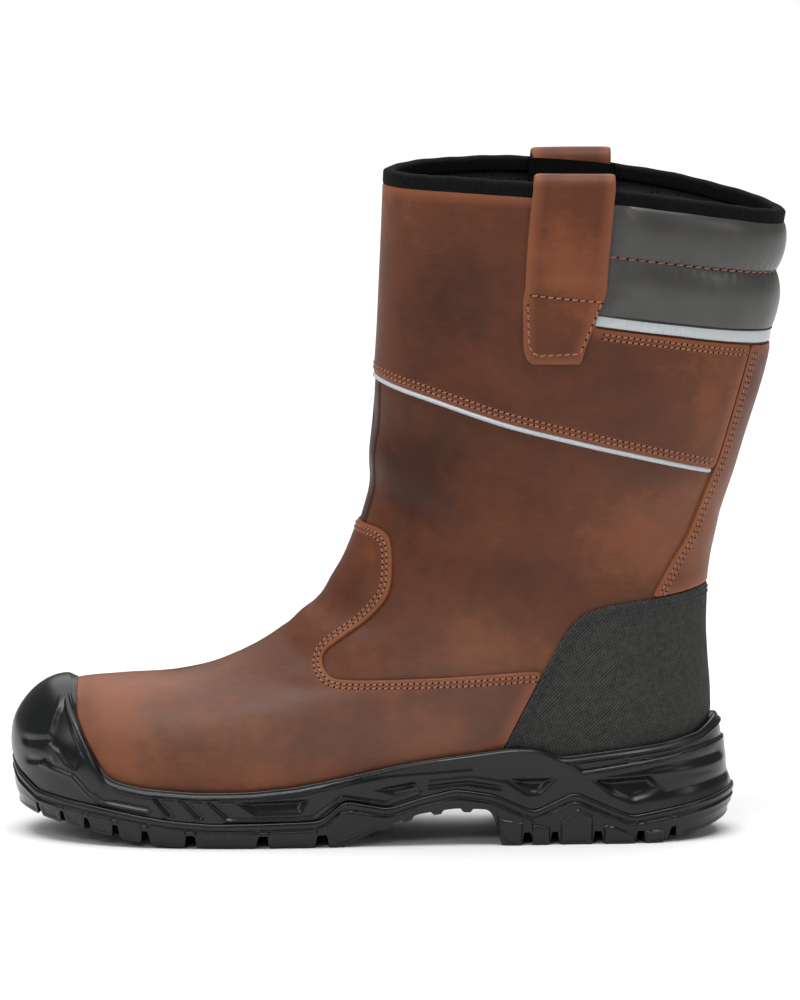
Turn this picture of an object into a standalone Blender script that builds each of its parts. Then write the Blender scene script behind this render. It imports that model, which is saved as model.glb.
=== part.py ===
"""Pull-on safety boot for the left foot, as an assembly of separate pieces.

The toe points along -X, the outer side of the foot faces -Y and +Z is up.
Sizes are in millimetres and become metres when a mesh is made.
"""
import math
from collections import namedtuple

import bmesh
import bpy
from mathutils import Matrix, Vector

MM = 0.001
OBJECT_NAME = "safety_boot"

# Driving sizes, mm
LEATHER_WALL = 2.4
OVERLAY_WALL = 1.3
SEAT_GAP = 0.3
INSOLE_THICK = 4.0
INSOLE_MARGIN = 3.6
CUP_CLEARANCE = 2.7
CUP_WALL = 2.8
CUP_RIM = 2.0
RIM_BEAD = 0.5
LIP_OUT = 7.0
LIP_IN = 4.8
LIP_EDGE = 2.6
LIP_ROUND = 0.3
LIP_DEPTH = 0.6
SIDE_DRAFT = 1.2
SIDE_BREAK = 0.4
TRAY_THICK = 6.6
TRAY_SLACK = 6.0
TRAY_SHARE = 0.22
TREAD_DRAFT = 4.0
LUG_DEPTH = 4.5
CUT_BELOW = 8.0
BINDING_WALL = 1.2
BINDING_DROP = 4.2
BINDING_ROUND = 0.3
STRAP_WALL = 2.2
STRAP_ARCH = 5.8
STRAP_SPRING = -1.0
PAD_GAP = 0.5
PIPING_DROP = 2.3
PIPING_WALL = 1.7
OVERLAY_TUCK = 3.0
INSOLE_ROUND = 1.0
FRAME_SHIFT = (0.55, 0.8, 0.0)

# Fineness of the faceted solids and of the searches on the last
SIDE_COLUMNS = 16
LOOPS = 18
EDGE_STEPS = 2
SOFT_REACH = 9.0
TURN_STEP = 0.01
SEARCH_STEP = 0.1
HALVINGS = 40
SHARP_DEGREES = 35.0

# Sections of the last, from the feather edge up to the collar.
# Each section runs from a point on the front of the boot to one on its back,
# over a bend point, and has half widths at ball, waist and heel.
Section = namedtuple(
    "Section",
    "front_x front_z bend_x bend_z back_x back_z ball waist heel toe_round heel_round")
LAST = [
    Section(-157.5, 20.0, -20.0, 20.0, 128.5, 20.0, 44.5, 37.0, 32.5, 62.0, 40.0),
    Section(-159.2, 36.0, -30.0, 25.0, 129.4, 39.0, 46.3, 39.0, 34.0, 68.0, 42.0),
    Section(-157.4, 47.6, -60.0, 36.0, 130.4, 50.0, 47.0, 40.0, 35.0, 86.0, 44.0),
    Section(-150.4, 57.7, -95.0, 42.0, 130.4, 58.0, 47.0, 40.5, 35.5, 112.0, 46.0),
    Section(-138.0, 63.4, -105.0, 46.0, 130.1, 65.0, 47.0, 40.5, 35.5, 124.0, 47.0),
    Section(-118.0, 65.8, -95.0, 52.0, 129.5, 72.0, 47.0, 40.5, 35.5, 130.0, 48.0),
    Section(-95.0, 67.6, -80.0, 60.0, 129.0, 79.5, 46.5, 40.5, 35.5, 130.0, 49.0),
    Section(-73.5, 73.1, -60.0, 67.0, 128.6, 88.0, 45.5, 40.5, 35.5, 98.0, 50.0),
    Section(-50.4, 85.8, -35.0, 79.0, 128.8, 98.0, 43.0, 40.5, 36.0, 68.0, 51.0),
    Section(-28.8, 107.0, -5.0, 98.5, 129.6, 113.0, 41.5, 40.5, 36.5, 60.0, 53.0),
    Section(-15.7, 137.0, 30.0, 128.0, 133.9, 135.0, 41.5, 41.5, 37.5, 62.0, 57.0),
    Section(-12.0, 168.0, 60.0, 163.0, 144.0, 168.0, 42.5, 43.0, 40.0, 67.0, 63.0),
    Section(-8.9, 208.0, 72.0, 206.0, 155.0, 206.0, 44.0, 45.0, 43.5, 74.0, 71.0),
    Section(-6.9, 250.0, 76.0, 250.0, 157.6, 240.0, 45.0, 46.5, 46.0, 82.0, 78.0),
    Section(-5.6, 282.6, 80.0, 286.4, 162.0, 265.6, 45.0, 47.0, 47.0, 88.0, 82.0),
]
BALL_X, WAIST_X, HEEL_X = -80.0, 10.0, 95.0

# Height that the foot bed adds to the lowest sections, by place along the foot
Lift = namedtuple("Lift", "x height")
FOOT_BED = [
    Lift(-165.0, 6.5), Lift(-130.0, -1.5), Lift(-95.0, -6.0), Lift(-60.0, -6.0),
    Lift(-20.0, 0.5), Lift(20.0, 6.5), Lift(70.0, 8.5), Lift(135.0, 8.0),
]
FOOT_BED_ROWS = 3.0

# Sideways curve of the foot: the toe turns inward, the waist outward
Swing = namedtuple("Swing", "x offset")
FOOT_CURVE = [
    Swing(-170.0, 5.0), Swing(-120.0, 1.5), Swing(-80.0, -1.5), Swing(-20.0, -3.5),
    Swing(40.0, -2.5), Swing(100.0, -0.5), Swing(140.0, 0.0),
]
CURVE_FADE_LOW, CURVE_FADE_HIGH = 70.0, 190.0

# Stations of the sole: heights of its underside, of the outsole's lip and of the
# step in the cup's side, how deep that step is, and how far the sole flares out there
Station = namedtuple("Station", "x underside lip step step_depth flare")
SOLE = [
    Station(-157.5, 12.5, 33.0, 44.0, 0.0, 0.6),
    Station(-155.5, 12.0, 27.5, 42.0, 0.0, 0.6),
    Station(-149.0, 10.0, 21.5, 38.0, 0.0, 0.4),
    Station(-139.0, 7.8, 19.3, 34.0, 0.0, 0.0),
    Station(-135.0, 7.0, 18.6, 32.0, 0.0, 0.0),
    Station(-131.5, 6.3, 18.1, 30.0, 0.0, 0.0),
    Station(-129.0, 5.8, 17.7, 28.0, 0.0, 0.0),
    Station(-127.0, 5.4, 17.3, 26.8, 0.0, 0.0),
    Station(-124.6, 5.0, 16.9, 25.6, 0.0, 0.0),
    Station(-121.5, 4.4, 16.3, 24.4, 0.0, 0.0),
    Station(-117.0, 3.5, 15.5, 23.0, 0.0, 0.0),
    Station(-111.0, 2.4, 14.4, 22.2, 0.0, 0.0),
    Station(-96.0, 0.4, 12.0, 20.5, 0.0, 0.0),
    Station(-80.0, 0.0, 10.8, 20.0, 0.0, 0.0),
    Station(-58.0, 0.0, 11.1, 20.8, 0.0, 0.0),
    Station(-35.0, 0.0, 11.7, 24.0, 0.0, 0.0),
    Station(-24.6, 0.6, 20.3, 27.5, 0.0, 0.0),
    Station(-6.0, 9.2, 16.8, 31.0, 0.0, 0.0),
    Station(8.0, 14.0, 21.2, 34.4, 0.0, 0.0),
    Station(23.0, 16.2, 24.8, 37.2, 0.0, 0.0),
    Station(38.6, 15.5, 22.4, 39.4, 0.0, 0.0),
    Station(42.6, 0.0, 20.6, 40.0, 0.0, 0.0),
    Station(55.6, 0.0, 14.6, 40.6, 0.0, 0.0),
    Station(65.0, 0.0, 19.0, 36.8, 0.6, 0.0),
    Station(73.0, 0.0, 22.7, 32.2, 1.3, 0.0),
    Station(97.0, 0.0, 12.2, 34.8, 1.4, 0.4),
    Station(107.0, 0.0, 14.2, 36.2, 1.2, 1.6),
    Station(116.0, 2.4, 16.2, 37.8, 0.9, 3.6),
    Station(123.0, 4.8, 18.2, 39.6, 0.6, 5.2),
    Station(127.2, 7.0, 20.0, 41.2, 0.4, 6.2),
    Station(128.5, 8.0, 20.8, 42.2, 0.3, 6.6),
]

# Side view of the cup's rim, from behind the heel to the top of the toe
Point = namedtuple("Point", "x z")
CUP_RIM_LINE = [
    Point(150.0, 52.0), Point(130.0, 50.6), Point(123.0, 45.4), Point(110.0, 42.6), Point(72.0, 38.0),
    Point(66.0, 37.8), Point(57.0, 42.2), Point(44.0, 42.2), Point(15.0, 38.5), Point(0.0, 36.0),
    Point(-30.0, 29.5), Point(-45.0, 26.6), Point(-64.0, 24.7), Point(-85.0, 24.3), Point(-108.0, 25.6),
    Point(-118.0, 27.4), Point(-125.3, 31.0), Point(-128.5, 36.6), Point(-132.0, 43.2),
    Point(-135.8, 52.0), Point(-137.3, 59.8), Point(-137.0, 67.0), Point(-137.0, 90.0),
]

# Side views of the overlays
VAMP_EDGE = [
    Point(-40.0, 141.0), Point(-19.5, 134.6), Point(-8.5, 132.6), Point(-4.0, 127.5), Point(-3.6, 113.5),
    Point(-6.0, 104.5), Point(-13.0, 97.0), Point(-25.0, 87.2), Point(-31.8, 81.8), Point(-33.2, 77.4),
    Point(-31.0, 73.0), Point(-26.0, 70.9), Point(-7.0, 71.0), Point(28.0, 72.6), Point(58.5, 74.4),
]
COUNTER_EDGE = [
    Point(31.0, 16.0), Point(45.0, 43.9), Point(62.4, 77.4), Point(71.5, 92.6), Point(76.5, 97.6),
    Point(83.0, 100.4), Point(93.0, 102.4), Point(119.4, 105.4), Point(131.0, 107.4), Point(150.0, 110.0),
]
BACK_STRIP_EDGE = [
    Point(147.5, 209.5), Point(141.9, 189.4), Point(134.7, 164.7), Point(130.0, 153.0),
    Point(123.6, 135.0), Point(110.5, 112.0), Point(106.5, 104.8),
]
PANEL_EDGE = [
    Point(-25.0, 203.0), Point(-11.0, 197.4), Point(-1.3, 194.4), Point(16.0, 189.8), Point(45.5, 180.8),
    Point(75.0, 173.2), Point(104.0, 166.2), Point(130.6, 159.0),
]
PAD_LOW = [Point(80.0, 228.4), Point(117.0, 223.0), Point(170.0, 214.4)]
BAND_LOW = [Point(80.0, 222.4), Point(117.0, 217.0), Point(170.0, 207.6)]
PAD_FRONT_X = 90.5
PAD_LEVEL = 13.5
PANEL_NOTCH_X = 82.0
ACROSS = 90.0
BEHIND = 190.0
AHEAD = -300.0
BELOW = -40.0

# Levels of the last that each overlay lies between
Layer = namedtuple("Layer", "low high")
VAMP_LAYER = Layer(0.2, 10.6)
COUNTER_LAYER = Layer(0.2, 9.4)
BACK_STRIP_LAYER = Layer(7.6, 12.8)
PANEL_LAYER = Layer(10.2, 14.0)

# Where one overlay's outline takes over from the next one's
COUNTER_FOOT_Z, COUNTER_FOOT_X = 38.2, 42.0
VAMP_TAIL_Z, VAMP_FOOT_X = 74.0, 38.0
STRIP_FOOT_X, STRIP_FOOT_Z = 108.0, 114.0
STRIP_TOP_X, STRIP_TOP_Z = 148.0, 203.5
PANEL_TAIL_Z = 159.0
PANEL_TOP_X = (147.0, 117.0, PANEL_NOTCH_X)
PIPING_END = Point(130.0, 158.0)

# Thickness of the padded collar across its height: two rolls and a groove
Roll = namedtuple("Roll", "across thick")
PAD_ROLLS = [
    Roll(0.0, 1.5), Roll(0.08, 3.2), Roll(0.25, 4.4), Roll(0.42, 3.6), Roll(0.50, 2.0),
    Roll(0.58, 3.6), Roll(0.75, 4.4), Roll(0.92, 3.0), Roll(1.0, 1.5),
]

# Pull loop: heights and edges of the strap, outside leg first
Strap = namedtuple("Strap", "height fore_x back_x")
STRAP_OUTSIDE = [
    Strap(206.5, 55.0, 75.5), Strap(212.5, 52.0, 77.5), Strap(235.0, 52.0, 85.5),
    Strap(250.0, 53.2, 87.2), Strap(265.0, 54.6, 88.6), Strap(275.5, 55.6, 89.6),
]
STRAP_INSIDE = [Strap(274.0, 56.0, 89.8), Strap(250.0, 56.0, 88.5), Strap(232.0, 56.0, 88.0)]
STRAP_TOP = Strap(282.0, 56.2, 90.2)
STRAP_ACROSS = 3
STRAP_ARCH_STEPS = 6

# Tread: grooves at the sole's edge, and how far each one slants
Groove = namedtuple("Groove", "x slant width")
GROOVES = [
    Groove(-152.0, 40.0, 3.0), Groove(-142.0, 30.0, 3.2), Groove(-131.0, 22.0, 3.4), Groove(-119.5, 16.0, 3.6),
    Groove(-107.0, 12.0, 3.8), Groove(-89.0, 10.0, 4.2), Groove(-59.0, 10.0, 4.4), Groove(-33.5, 10.0, 4.6),
    Groove(53.5, -8.0, 3.4), Groove(65.0, -10.0, 3.4), Groove(84.0, -14.0, 4.0), Groove(101.0, -22.0, 3.6),
    Groove(113.5, -34.0, 3.0),
]
GROOVE_INNER = 13.0
GROOVE_OUTER = 75.0
GROOVE_PIVOT = 50.0
SPINE_RUNS = [(-134.0, -22.0), (51.0, 107.0)]
SPINE_Y = 10.5
SPINE_WIDTH = 3.4
SPINE_DEPTH = 4.0

# Recesses in the cup's side: outlines in side view and their depth
RECESS_REACH = 20.0
Recess = namedtuple("Recess", "depth outline")
RECESSES = [
    Recess(1.1, [Point(-105.5, 22.3), Point(-103.3, 22.3), Point(-96.0, 14.2), Point(-98.6, 14.2)]),
    Recess(1.1, [Point(-94.0, 21.4), Point(-91.6, 21.4), Point(-83.5, 13.4), Point(-86.3, 13.4)]),
    Recess(1.1, [Point(-82.0, 20.8), Point(-79.4, 20.8), Point(-70.8, 13.4), Point(-73.8, 13.4)]),
    Recess(1.6, [Point(-71.0, 20.6), Point(-36.0, 22.0), Point(-41.0, 15.0), Point(-62.0, 14.4)]),
    Recess(1.8, [Point(-9.0, 24.4), Point(4.0, 26.4), Point(6.0, 24.6), Point(-2.0, 22.6)]),
    Recess(2.0, [Point(44.0, 28.2), Point(66.0, 28.6), Point(58.0, 22.0), Point(53.0, 22.0)]),
    Recess(1.8, [
        Point(81.0, 28.4), Point(104.0, 29.6), Point(112.0, 22.0), Point(97.0, 17.6), Point(90.0, 20.0)]),
]

# Loops of the cup, from its floor up the inside, over the rim and down the outside.
# Each lies at a share of the way between two heights on the side, at a distance from
# the upper, and takes a share of the station's step and flare.
CupRing = namedtuple("CupRing", "start end share distance step flare")
CUP_FACE = CUP_CLEARANCE + CUP_WALL
CUP_RINGS = [
    CupRing("floor", "rim", 0.25, CUP_CLEARANCE, 0.0, 0.0),
    CupRing("floor", "rim", 0.50, CUP_CLEARANCE, 0.0, 0.0),
    CupRing("floor", "rim", 0.75, CUP_CLEARANCE, 0.0, 0.0),
    CupRing("floor", "rim", 1.00, CUP_CLEARANCE, 0.0, 0.0),
    CupRing("floor", "rim", 1.00, CUP_CLEARANCE + CUP_RIM, 0.0, 0.1),
    CupRing("rim", "lip", 0.06, CUP_FACE + RIM_BEAD, 0.0, 0.1),
    CupRing("rim", "lip", 0.14, CUP_FACE, 1.0, 0.2),
    CupRing("step", "rim", 0.40, CUP_FACE + 0.1, 1.0, 0.4),
    CupRing("step", "rim", 0.05, CUP_FACE + 0.2, 1.0, 0.4),
    CupRing("step", "lip", 0.06, CUP_FACE + 0.3, 0.0, 0.4),
    CupRing("step", "lip", 1.00, CUP_FACE + 0.5, 0.0, 0.7),
]
LIP_REVEAL = 2.2
STEP_LOW, STEP_HIGH = 0.3, 0.8

Finish = namedtuple("Finish", "colour roughness")
LEATHER = Finish((0.150, 0.052, 0.030), 0.52)
RUBBER = Finish((0.012, 0.013, 0.013), 0.45)
CORDURA = Finish((0.022, 0.023, 0.020), 0.85)
PADDING = Finish((0.060, 0.058, 0.056), 0.55)
REFLECTIVE = Finish((0.52, 0.58, 0.62), 0.35)
TAPE = Finish((0.006, 0.006, 0.006), 0.80)
FELT = Finish((0.020, 0.020, 0.022), 0.90)


def clamp(value, low, high):
    return max(low, min(high, value))


def ease(value):
    """Smooth step from 0 to 1."""
    value = clamp(value, 0.0, 1.0)
    return value * value * (3.0 - 2.0 * value)


def spline(p0, p1, p2, p3, t):
    """Catmull-Rom blend between p1 and p2."""
    return 0.5 * (2.0 * p1 + (p2 - p0) * t + (2.0 * p0 - 5.0 * p1 + 4.0 * p2 - p3) * t * t
                  + (3.0 * p1 - p0 - 3.0 * p2 + p3) * t * t * t)


def along(rows, place):
    """Straight-line reading of a two-column table at a place in its first column."""
    if place <= rows[0][0]:
        return rows[0][1]
    for low, high in zip(rows, rows[1:]):
        if place <= high[0]:
            return low[1] + (high[1] - low[1]) * (place - low[0]) / (high[0] - low[0])
    return rows[-1][1]


def soft_along(rows, place):
    """Eased reading of a two-column table, with no kinks at its rows."""
    steps = (-1.5, -0.5, 0.5, 1.5)
    return sum(along(rows, place + SOFT_REACH * step) for step in steps) / len(steps)


def last_section(level):
    """Section of the last at a level counted in rows of the LAST table."""
    level = clamp(level, 0.0, len(LAST) - 1.0)
    row = min(int(level), len(LAST) - 2)
    before = LAST[max(row - 1, 0)]
    after = LAST[min(row + 2, len(LAST) - 1)]
    columns = zip(before, LAST[row], LAST[row + 1], after)
    return Section(*[spline(*column, level - row) for column in columns])


def quarter(value):
    """Quarter ellipse that rounds a section towards its end."""
    return math.sqrt(max(0.0, 1.0 - (1.0 - clamp(value, 0.0, 1.0)) ** 2))


def half_width(section, x):
    """Half width between the ball, waist and heel stations."""
    if x < WAIST_X:
        share = ease((x - BALL_X) / (WAIST_X - BALL_X))
        return section.ball + (section.waist - section.ball) * share
    share = ease((x - WAIST_X) / (HEEL_X - WAIST_X))
    return section.waist + (section.heel - section.waist) * share


def skin(level, turn):
    """Point on the upper's outer face; turn goes 0 at the front, pi at the back, outer side first."""
    section = last_section(level)
    share = 0.5 - 0.5 * math.cos(turn)
    front = (1.0 - share) ** 2
    bend = 2.0 * share * (1.0 - share)
    back = share ** 2
    x = front * section.front_x + bend * section.bend_x + back * section.back_x
    z = front * section.front_z + bend * section.bend_z + back * section.back_z
    from_front = math.hypot(x - section.front_x, z - section.front_z)
    from_back = math.hypot(x - section.back_x, z - section.back_z)
    width = half_width(section, x)
    width *= quarter(from_front / section.toe_round) * quarter(from_back / section.heel_round)
    z += soft_along(FOOT_BED, x) * (1.0 - ease(level / FOOT_BED_ROWS))
    fade = 1.0 - ease((z - CURVE_FADE_LOW) / (CURVE_FADE_HIGH - CURVE_FADE_LOW))
    side = -1.0 if turn % (2.0 * math.pi) <= math.pi else 1.0
    return Vector((x, soft_along(FOOT_CURVE, x) * fade + side * width, z))


def skin_normal(level, turn):
    """Outward direction of the upper's outer face."""
    top = len(LAST) - 1.0
    around = skin(level, turn + TURN_STEP) - skin(level, turn - TURN_STEP)
    upward = skin(min(level + TURN_STEP, top), turn) - skin(max(level - TURN_STEP, 0.0), turn)
    return around.cross(upward).normalized()


def raised(level, turn, distance):
    """Point at a distance outward from the upper's outer face."""
    return skin(level, turn) + skin_normal(level, turn) * distance


def level_where(turn, below):
    """Highest level up a column of the skin at which the test below still holds."""
    low, high = 0.0, len(LAST) - 1.0
    level = 0.0
    while level < high and below(skin(level, turn)):
        low = level
        level += SEARCH_STEP
    high = min(level, high)
    for _ in range(HALVINGS):
        middle = 0.5 * (low + high)
        if below(skin(middle, turn)):
            low = middle
        else:
            high = middle
    return low


def turn_at(level, x, side):
    """Turn at which a level of the skin crosses a place along the foot."""
    low, high = 0.0, math.pi
    for _ in range(HALVINGS):
        middle = 0.5 * (low + high)
        if skin(level, middle).x < x:
            low = middle
        else:
            high = middle
    return low if side < 0 else 2.0 * math.pi - low


def on_skin(x, z, side):
    """Level and turn of the skin's point at a place in side view."""
    low, high = 0.0, len(LAST) - 1.0
    for _ in range(HALVINGS):
        middle = 0.5 * (low + high)
        if skin(middle, turn_at(middle, x, -1)).z < z:
            low = middle
        else:
            high = middle
    return low, turn_at(low, x, side)


def inside(outline, point):
    """Whether a point lies inside an outline in side view."""
    found = False
    for start, end in zip(outline, outline[1:] + outline[:1]):
        if (start.z > point.z) != (end.z > point.z):
            cross = start.x + (end.x - start.x) * (point.z - start.z) / (end.z - start.z)
            if point.x < cross:
                found = not found
    return found


def rounded(points, steps=EDGE_STEPS):
    """Outline through hand-placed points, eased between them."""
    line = []
    for index in range(len(points) - 1):
        before = points[max(index - 1, 0)]
        after = points[min(index + 2, len(points) - 1)]
        for step in range(steps):
            t = step / steps
            line.append(Point(
                spline(before.x, points[index].x, points[index + 1].x, after.x, t),
                spline(before.z, points[index].z, points[index + 1].z, after.z, t)))
    line.append(points[-1])
    return line


def shifted(points, across, up):
    """Outline moved in side view."""
    return [Point(point.x + across, point.z + up) for point in points]


def new_collection(name):
    collection = bpy.data.collections.new(name)
    bpy.context.scene.collection.children.link(collection)
    return collection


def new_material(name, finish):
    material = bpy.data.materials.new(name)
    material.use_nodes = True
    shader = material.node_tree.nodes["Principled BSDF"]
    shader.inputs["Base Color"].default_value = (*finish.colour, 1.0)
    shader.inputs["Roughness"].default_value = finish.roughness
    shader.inputs["Metallic"].default_value = 0.0
    return material


def add_solid(name, points, faces, collection, finish=None):
    """Mesh object from points in millimetres, its faces pointing outward."""
    mesh = bpy.data.meshes.new(name)
    mesh.from_pydata([point * MM for point in points], [], faces)
    shape = bmesh.new()
    shape.from_mesh(mesh)
    bmesh.ops.triangulate(shape, faces=[face for face in shape.faces if len(face.verts) > 4])
    bmesh.ops.recalc_face_normals(shape, faces=shape.faces)
    shape.to_mesh(mesh)
    shape.free()
    solid = bpy.data.objects.new(name, mesh)
    collection.objects.link(solid)
    if finish:
        mesh.materials.append(new_material(name, finish))
        mesh.shade_smooth()
        mesh.set_sharp_from_angle(angle=math.radians(SHARP_DEGREES))
    else:
        solid.hide_render = True
        solid.display_type = "WIRE"
    return solid


def bridge(points, lower, upper, count, closed=True):
    """Triangles between two rows of points with the same count, split along the shorter diagonal."""
    faces = []
    for index in range(count if closed else count - 1):
        after = (index + 1) % count
        a, b, c, d = lower + index, lower + after, upper + after, upper + index
        if (points[a] - points[c]).length <= (points[b] - points[d]).length:
            faces += [(a, b, c), (a, c, d)]
        else:
            faces += [(a, b, d), (b, c, d)]
    return faces


def ladder(first, count):
    """Faces across a loop, from its outer side to its inner side."""
    half = count // 2
    faces = [(first, first + 1, first + count - 1)]
    for index in range(1, half - 1):
        faces.append((first + index, first + index + 1, first + count - index - 1))
        faces.append((first + index, first + count - index - 1, first + count - index))
    faces.append((first + half - 1, first + half, first + half + 1))
    return faces


def ring_solid(name, rings, collection, finish, tube=False):
    """Solid through loops: a closed tube, or capped across its first and last loops."""
    count = len(rings[0])
    points = [point for ring in rings for point in ring]
    faces = []
    pairs = list(range(len(rings)))
    for index in pairs if tube else pairs[:-1]:
        faces += bridge(points, index * count, (index + 1) % len(rings) * count, count)
    if not tube:
        faces += ladder(0, count)
        faces += ladder((len(rings) - 1) * count, count)
    return add_solid(name, points, faces, collection, finish)


def patch_solid(name, under, over, collection, finish):
    """Solid between two matching grids of points, closed along its edges."""
    rows = len(under)
    columns = len(under[0])
    points = [point for row in under for point in row] + [point for row in over for point in row]
    lift = rows * columns
    faces = []
    for row in range(rows - 1):
        faces += bridge(points, row * columns, (row + 1) * columns, columns, closed=False)
        faces += bridge(points, lift + row * columns, lift + (row + 1) * columns, columns, closed=False)
        for edge in (0, columns - 1):
            start = row * columns + edge
            faces.append((start, start + columns, lift + start + columns))
            faces.append((start, lift + start + columns, lift + start))
    for edge in (0, (rows - 1) * columns):
        faces += bridge(points, edge, lift + edge, columns, closed=False)
    return add_solid(name, points, faces, collection, finish)


def prism(name, outline, near, far, collection):
    """Side-view outline run across the boot from one place to another."""
    curve = bpy.data.curves.new(name, "CURVE")
    curve.dimensions = "2D"
    curve.fill_mode = "BOTH"
    curve.extrude = 0.5 * abs(far - near) * MM
    border = curve.splines.new("POLY")
    border.points.add(len(outline) - 1)
    for knot, point in zip(border.points, outline):
        knot.co = (point.x * MM, point.z * MM, 0.0, 1.0)
    border.use_cyclic_u = True
    flat = bpy.data.objects.new(name + "_flat", curve)
    collection.objects.link(flat)
    mesh = bpy.data.meshes.new_from_object(flat.evaluated_get(bpy.context.evaluated_depsgraph_get()))
    bpy.data.objects.remove(flat)
    shape = bmesh.new()
    shape.from_mesh(mesh)
    bmesh.ops.remove_doubles(shape, verts=shape.verts, dist=0.01 * MM)
    middle = 0.5 * (near + far) * MM
    for vert in shape.verts:
        x, z, y = vert.co
        vert.co = (x, middle + y, z)
    shape.normal_update()
    bmesh.ops.recalc_face_normals(shape, faces=shape.faces)
    shape.to_mesh(mesh)
    shape.free()
    mesh.name = name
    solid = bpy.data.objects.new(name, mesh)
    collection.objects.link(solid)
    solid.hide_render = True
    solid.display_type = "WIRE"
    return solid


def joined(name, solids):
    """One cutter from several that lie apart."""
    shape = bmesh.new()
    for solid in solids:
        shape.from_mesh(solid.data)
    shape.to_mesh(solids[0].data)
    shape.free()
    for solid in solids[1:]:
        bpy.data.objects.remove(solid)
    solids[0].name = name
    return solids[0]


def cut(solid, cutter, operation):
    modifier = solid.modifiers.new(cutter.name, "BOOLEAN")
    modifier.operation = operation
    modifier.solver = "EXACT"
    modifier.object = cutter


def loop_turns():
    """Turns of the upper's columns, once round."""
    count = 2 * SIDE_COLUMNS
    return [2.0 * math.pi * index / count for index in range(count)]


def loop_levels():
    """Levels of the upper's loops, from feather edge to collar."""
    return [(len(LAST) - 1.0) * index / (LOOPS - 1) for index in range(LOOPS)]


def rim_line(drop):
    """Side view of the collar's rim, front to back, lowered by a drop."""
    rim = [skin(len(LAST) - 1.0, turn) for turn in loop_turns() if turn <= math.pi]
    return [Point(point.x, point.z - drop) for point in rim]


def make_upper(parts):
    """Leather wall, open at the collar and at the feather edge."""
    turns = loop_turns()
    outer = [[skin(level, turn) for turn in turns] for level in loop_levels()]
    inner = [[raised(level, turn, -LEATHER_WALL) for turn in turns] for level in reversed(loop_levels())]
    ring_solid("upper", outer + inner, parts, LEATHER, tube=True)


def overlay(name, span, outline, parts, cutters, finish):
    """Layer over the upper between two levels, kept where its side-view outline holds it."""
    levels = loop_levels()
    first = max(index for index, level in enumerate(levels) if level <= span.low)
    last = min(index for index, level in enumerate(levels) if level >= span.high)
    levels = levels[first:last + 1]
    levels[0] = max(levels[0], span.low)
    turns = loop_turns()
    under = [[raised(level, turn, SEAT_GAP) for turn in turns] for level in levels]
    over = [[raised(level, turn, SEAT_GAP + OVERLAY_WALL) for turn in turns] for level in reversed(levels)]
    layer = ring_solid(name, under + over, parts, finish, tube=True)
    cut(layer, prism(name + "_outline", outline, -ACROSS, ACROSS, cutters), "INTERSECT")


def make_overlays(parts, cutters):
    """Vamp, heel counter, back strip and cuff panel, each tucked under the cup's rim or a seam."""
    seam = 2.0 * SEAT_GAP
    counter_edge = rounded(COUNTER_EDGE)
    strip_edge = rounded(BACK_STRIP_EDGE)
    tuck = shifted(CUP_RIM_LINE, -0.5 * OVERLAY_TUCK, -OVERLAY_TUCK)
    vamp_tail = [point for point in counter_edge if COUNTER_FOOT_Z < point.z < VAMP_TAIL_Z]
    vamp = rounded(VAMP_EDGE) + shifted(vamp_tail[::-1], -seam, 0.0)
    vamp += [point for point in tuck if point.x < VAMP_FOOT_X]
    vamp += [Point(tuck[-1].x, VAMP_EDGE[0].z)]
    overlay("vamp", VAMP_LAYER, vamp, parts, cutters, LEATHER)
    counter = [point for point in counter_edge if point.z > COUNTER_FOOT_Z]
    counter += [Point(BEHIND, counter[-1].z), Point(BEHIND, tuck[0].z)]
    counter += [point for point in tuck if point.x > COUNTER_FOOT_X]
    overlay("heel_counter", COUNTER_LAYER, counter, parts, cutters, CORDURA)
    counter_top = shifted([point for point in counter_edge if point.x > STRIP_FOOT_X], 0.0, seam)
    band_seam = shifted(BAND_LOW, 0.0, -seam)
    strip = strip_edge + counter_top + [Point(BEHIND, STRIP_FOOT_Z), Point(BEHIND, STRIP_TOP_Z)]
    strip += [Point(x, along(band_seam, x)) for x in (band_seam[-1].x, STRIP_TOP_X)]
    overlay("back_strip", BACK_STRIP_LAYER, strip, parts, cutters, LEATHER)
    strip_front = shifted([point for point in strip_edge if point.z > PANEL_TAIL_Z], -seam, 0.0)
    collar_seam = rim_line(BINDING_DROP + seam)
    panel = rounded(PANEL_EDGE) + strip_front[::-1]
    panel += [Point(x, along(band_seam, x)) for x in PANEL_TOP_X]
    panel += [Point(PANEL_NOTCH_X, along(collar_seam, PANEL_NOTCH_X))]
    panel += [point for point in reversed(collar_seam) if point.x < PANEL_NOTCH_X]
    panel += [Point(PANEL_EDGE[0].x, collar_seam[0].z)]
    overlay("shaft_panel", PANEL_LAYER, panel, parts, cutters, LEATHER)


def strip_grid(turns, low, high, shares, distance):
    """Grid of points over the skin between two side-view lines; distance may vary across."""
    spans = []
    for turn in turns:
        bottom = level_where(turn, lambda point: point.z < along(low, point.x))
        top = level_where(turn, lambda point: point.z < along(high, point.x))
        spans.append((turn, bottom, top))
    grid = []
    for share in shares:
        lift = distance(share)
        grid.append([raised(bottom + (top - bottom) * share, turn, lift) for turn, bottom, top in spans])
    return grid


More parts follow.
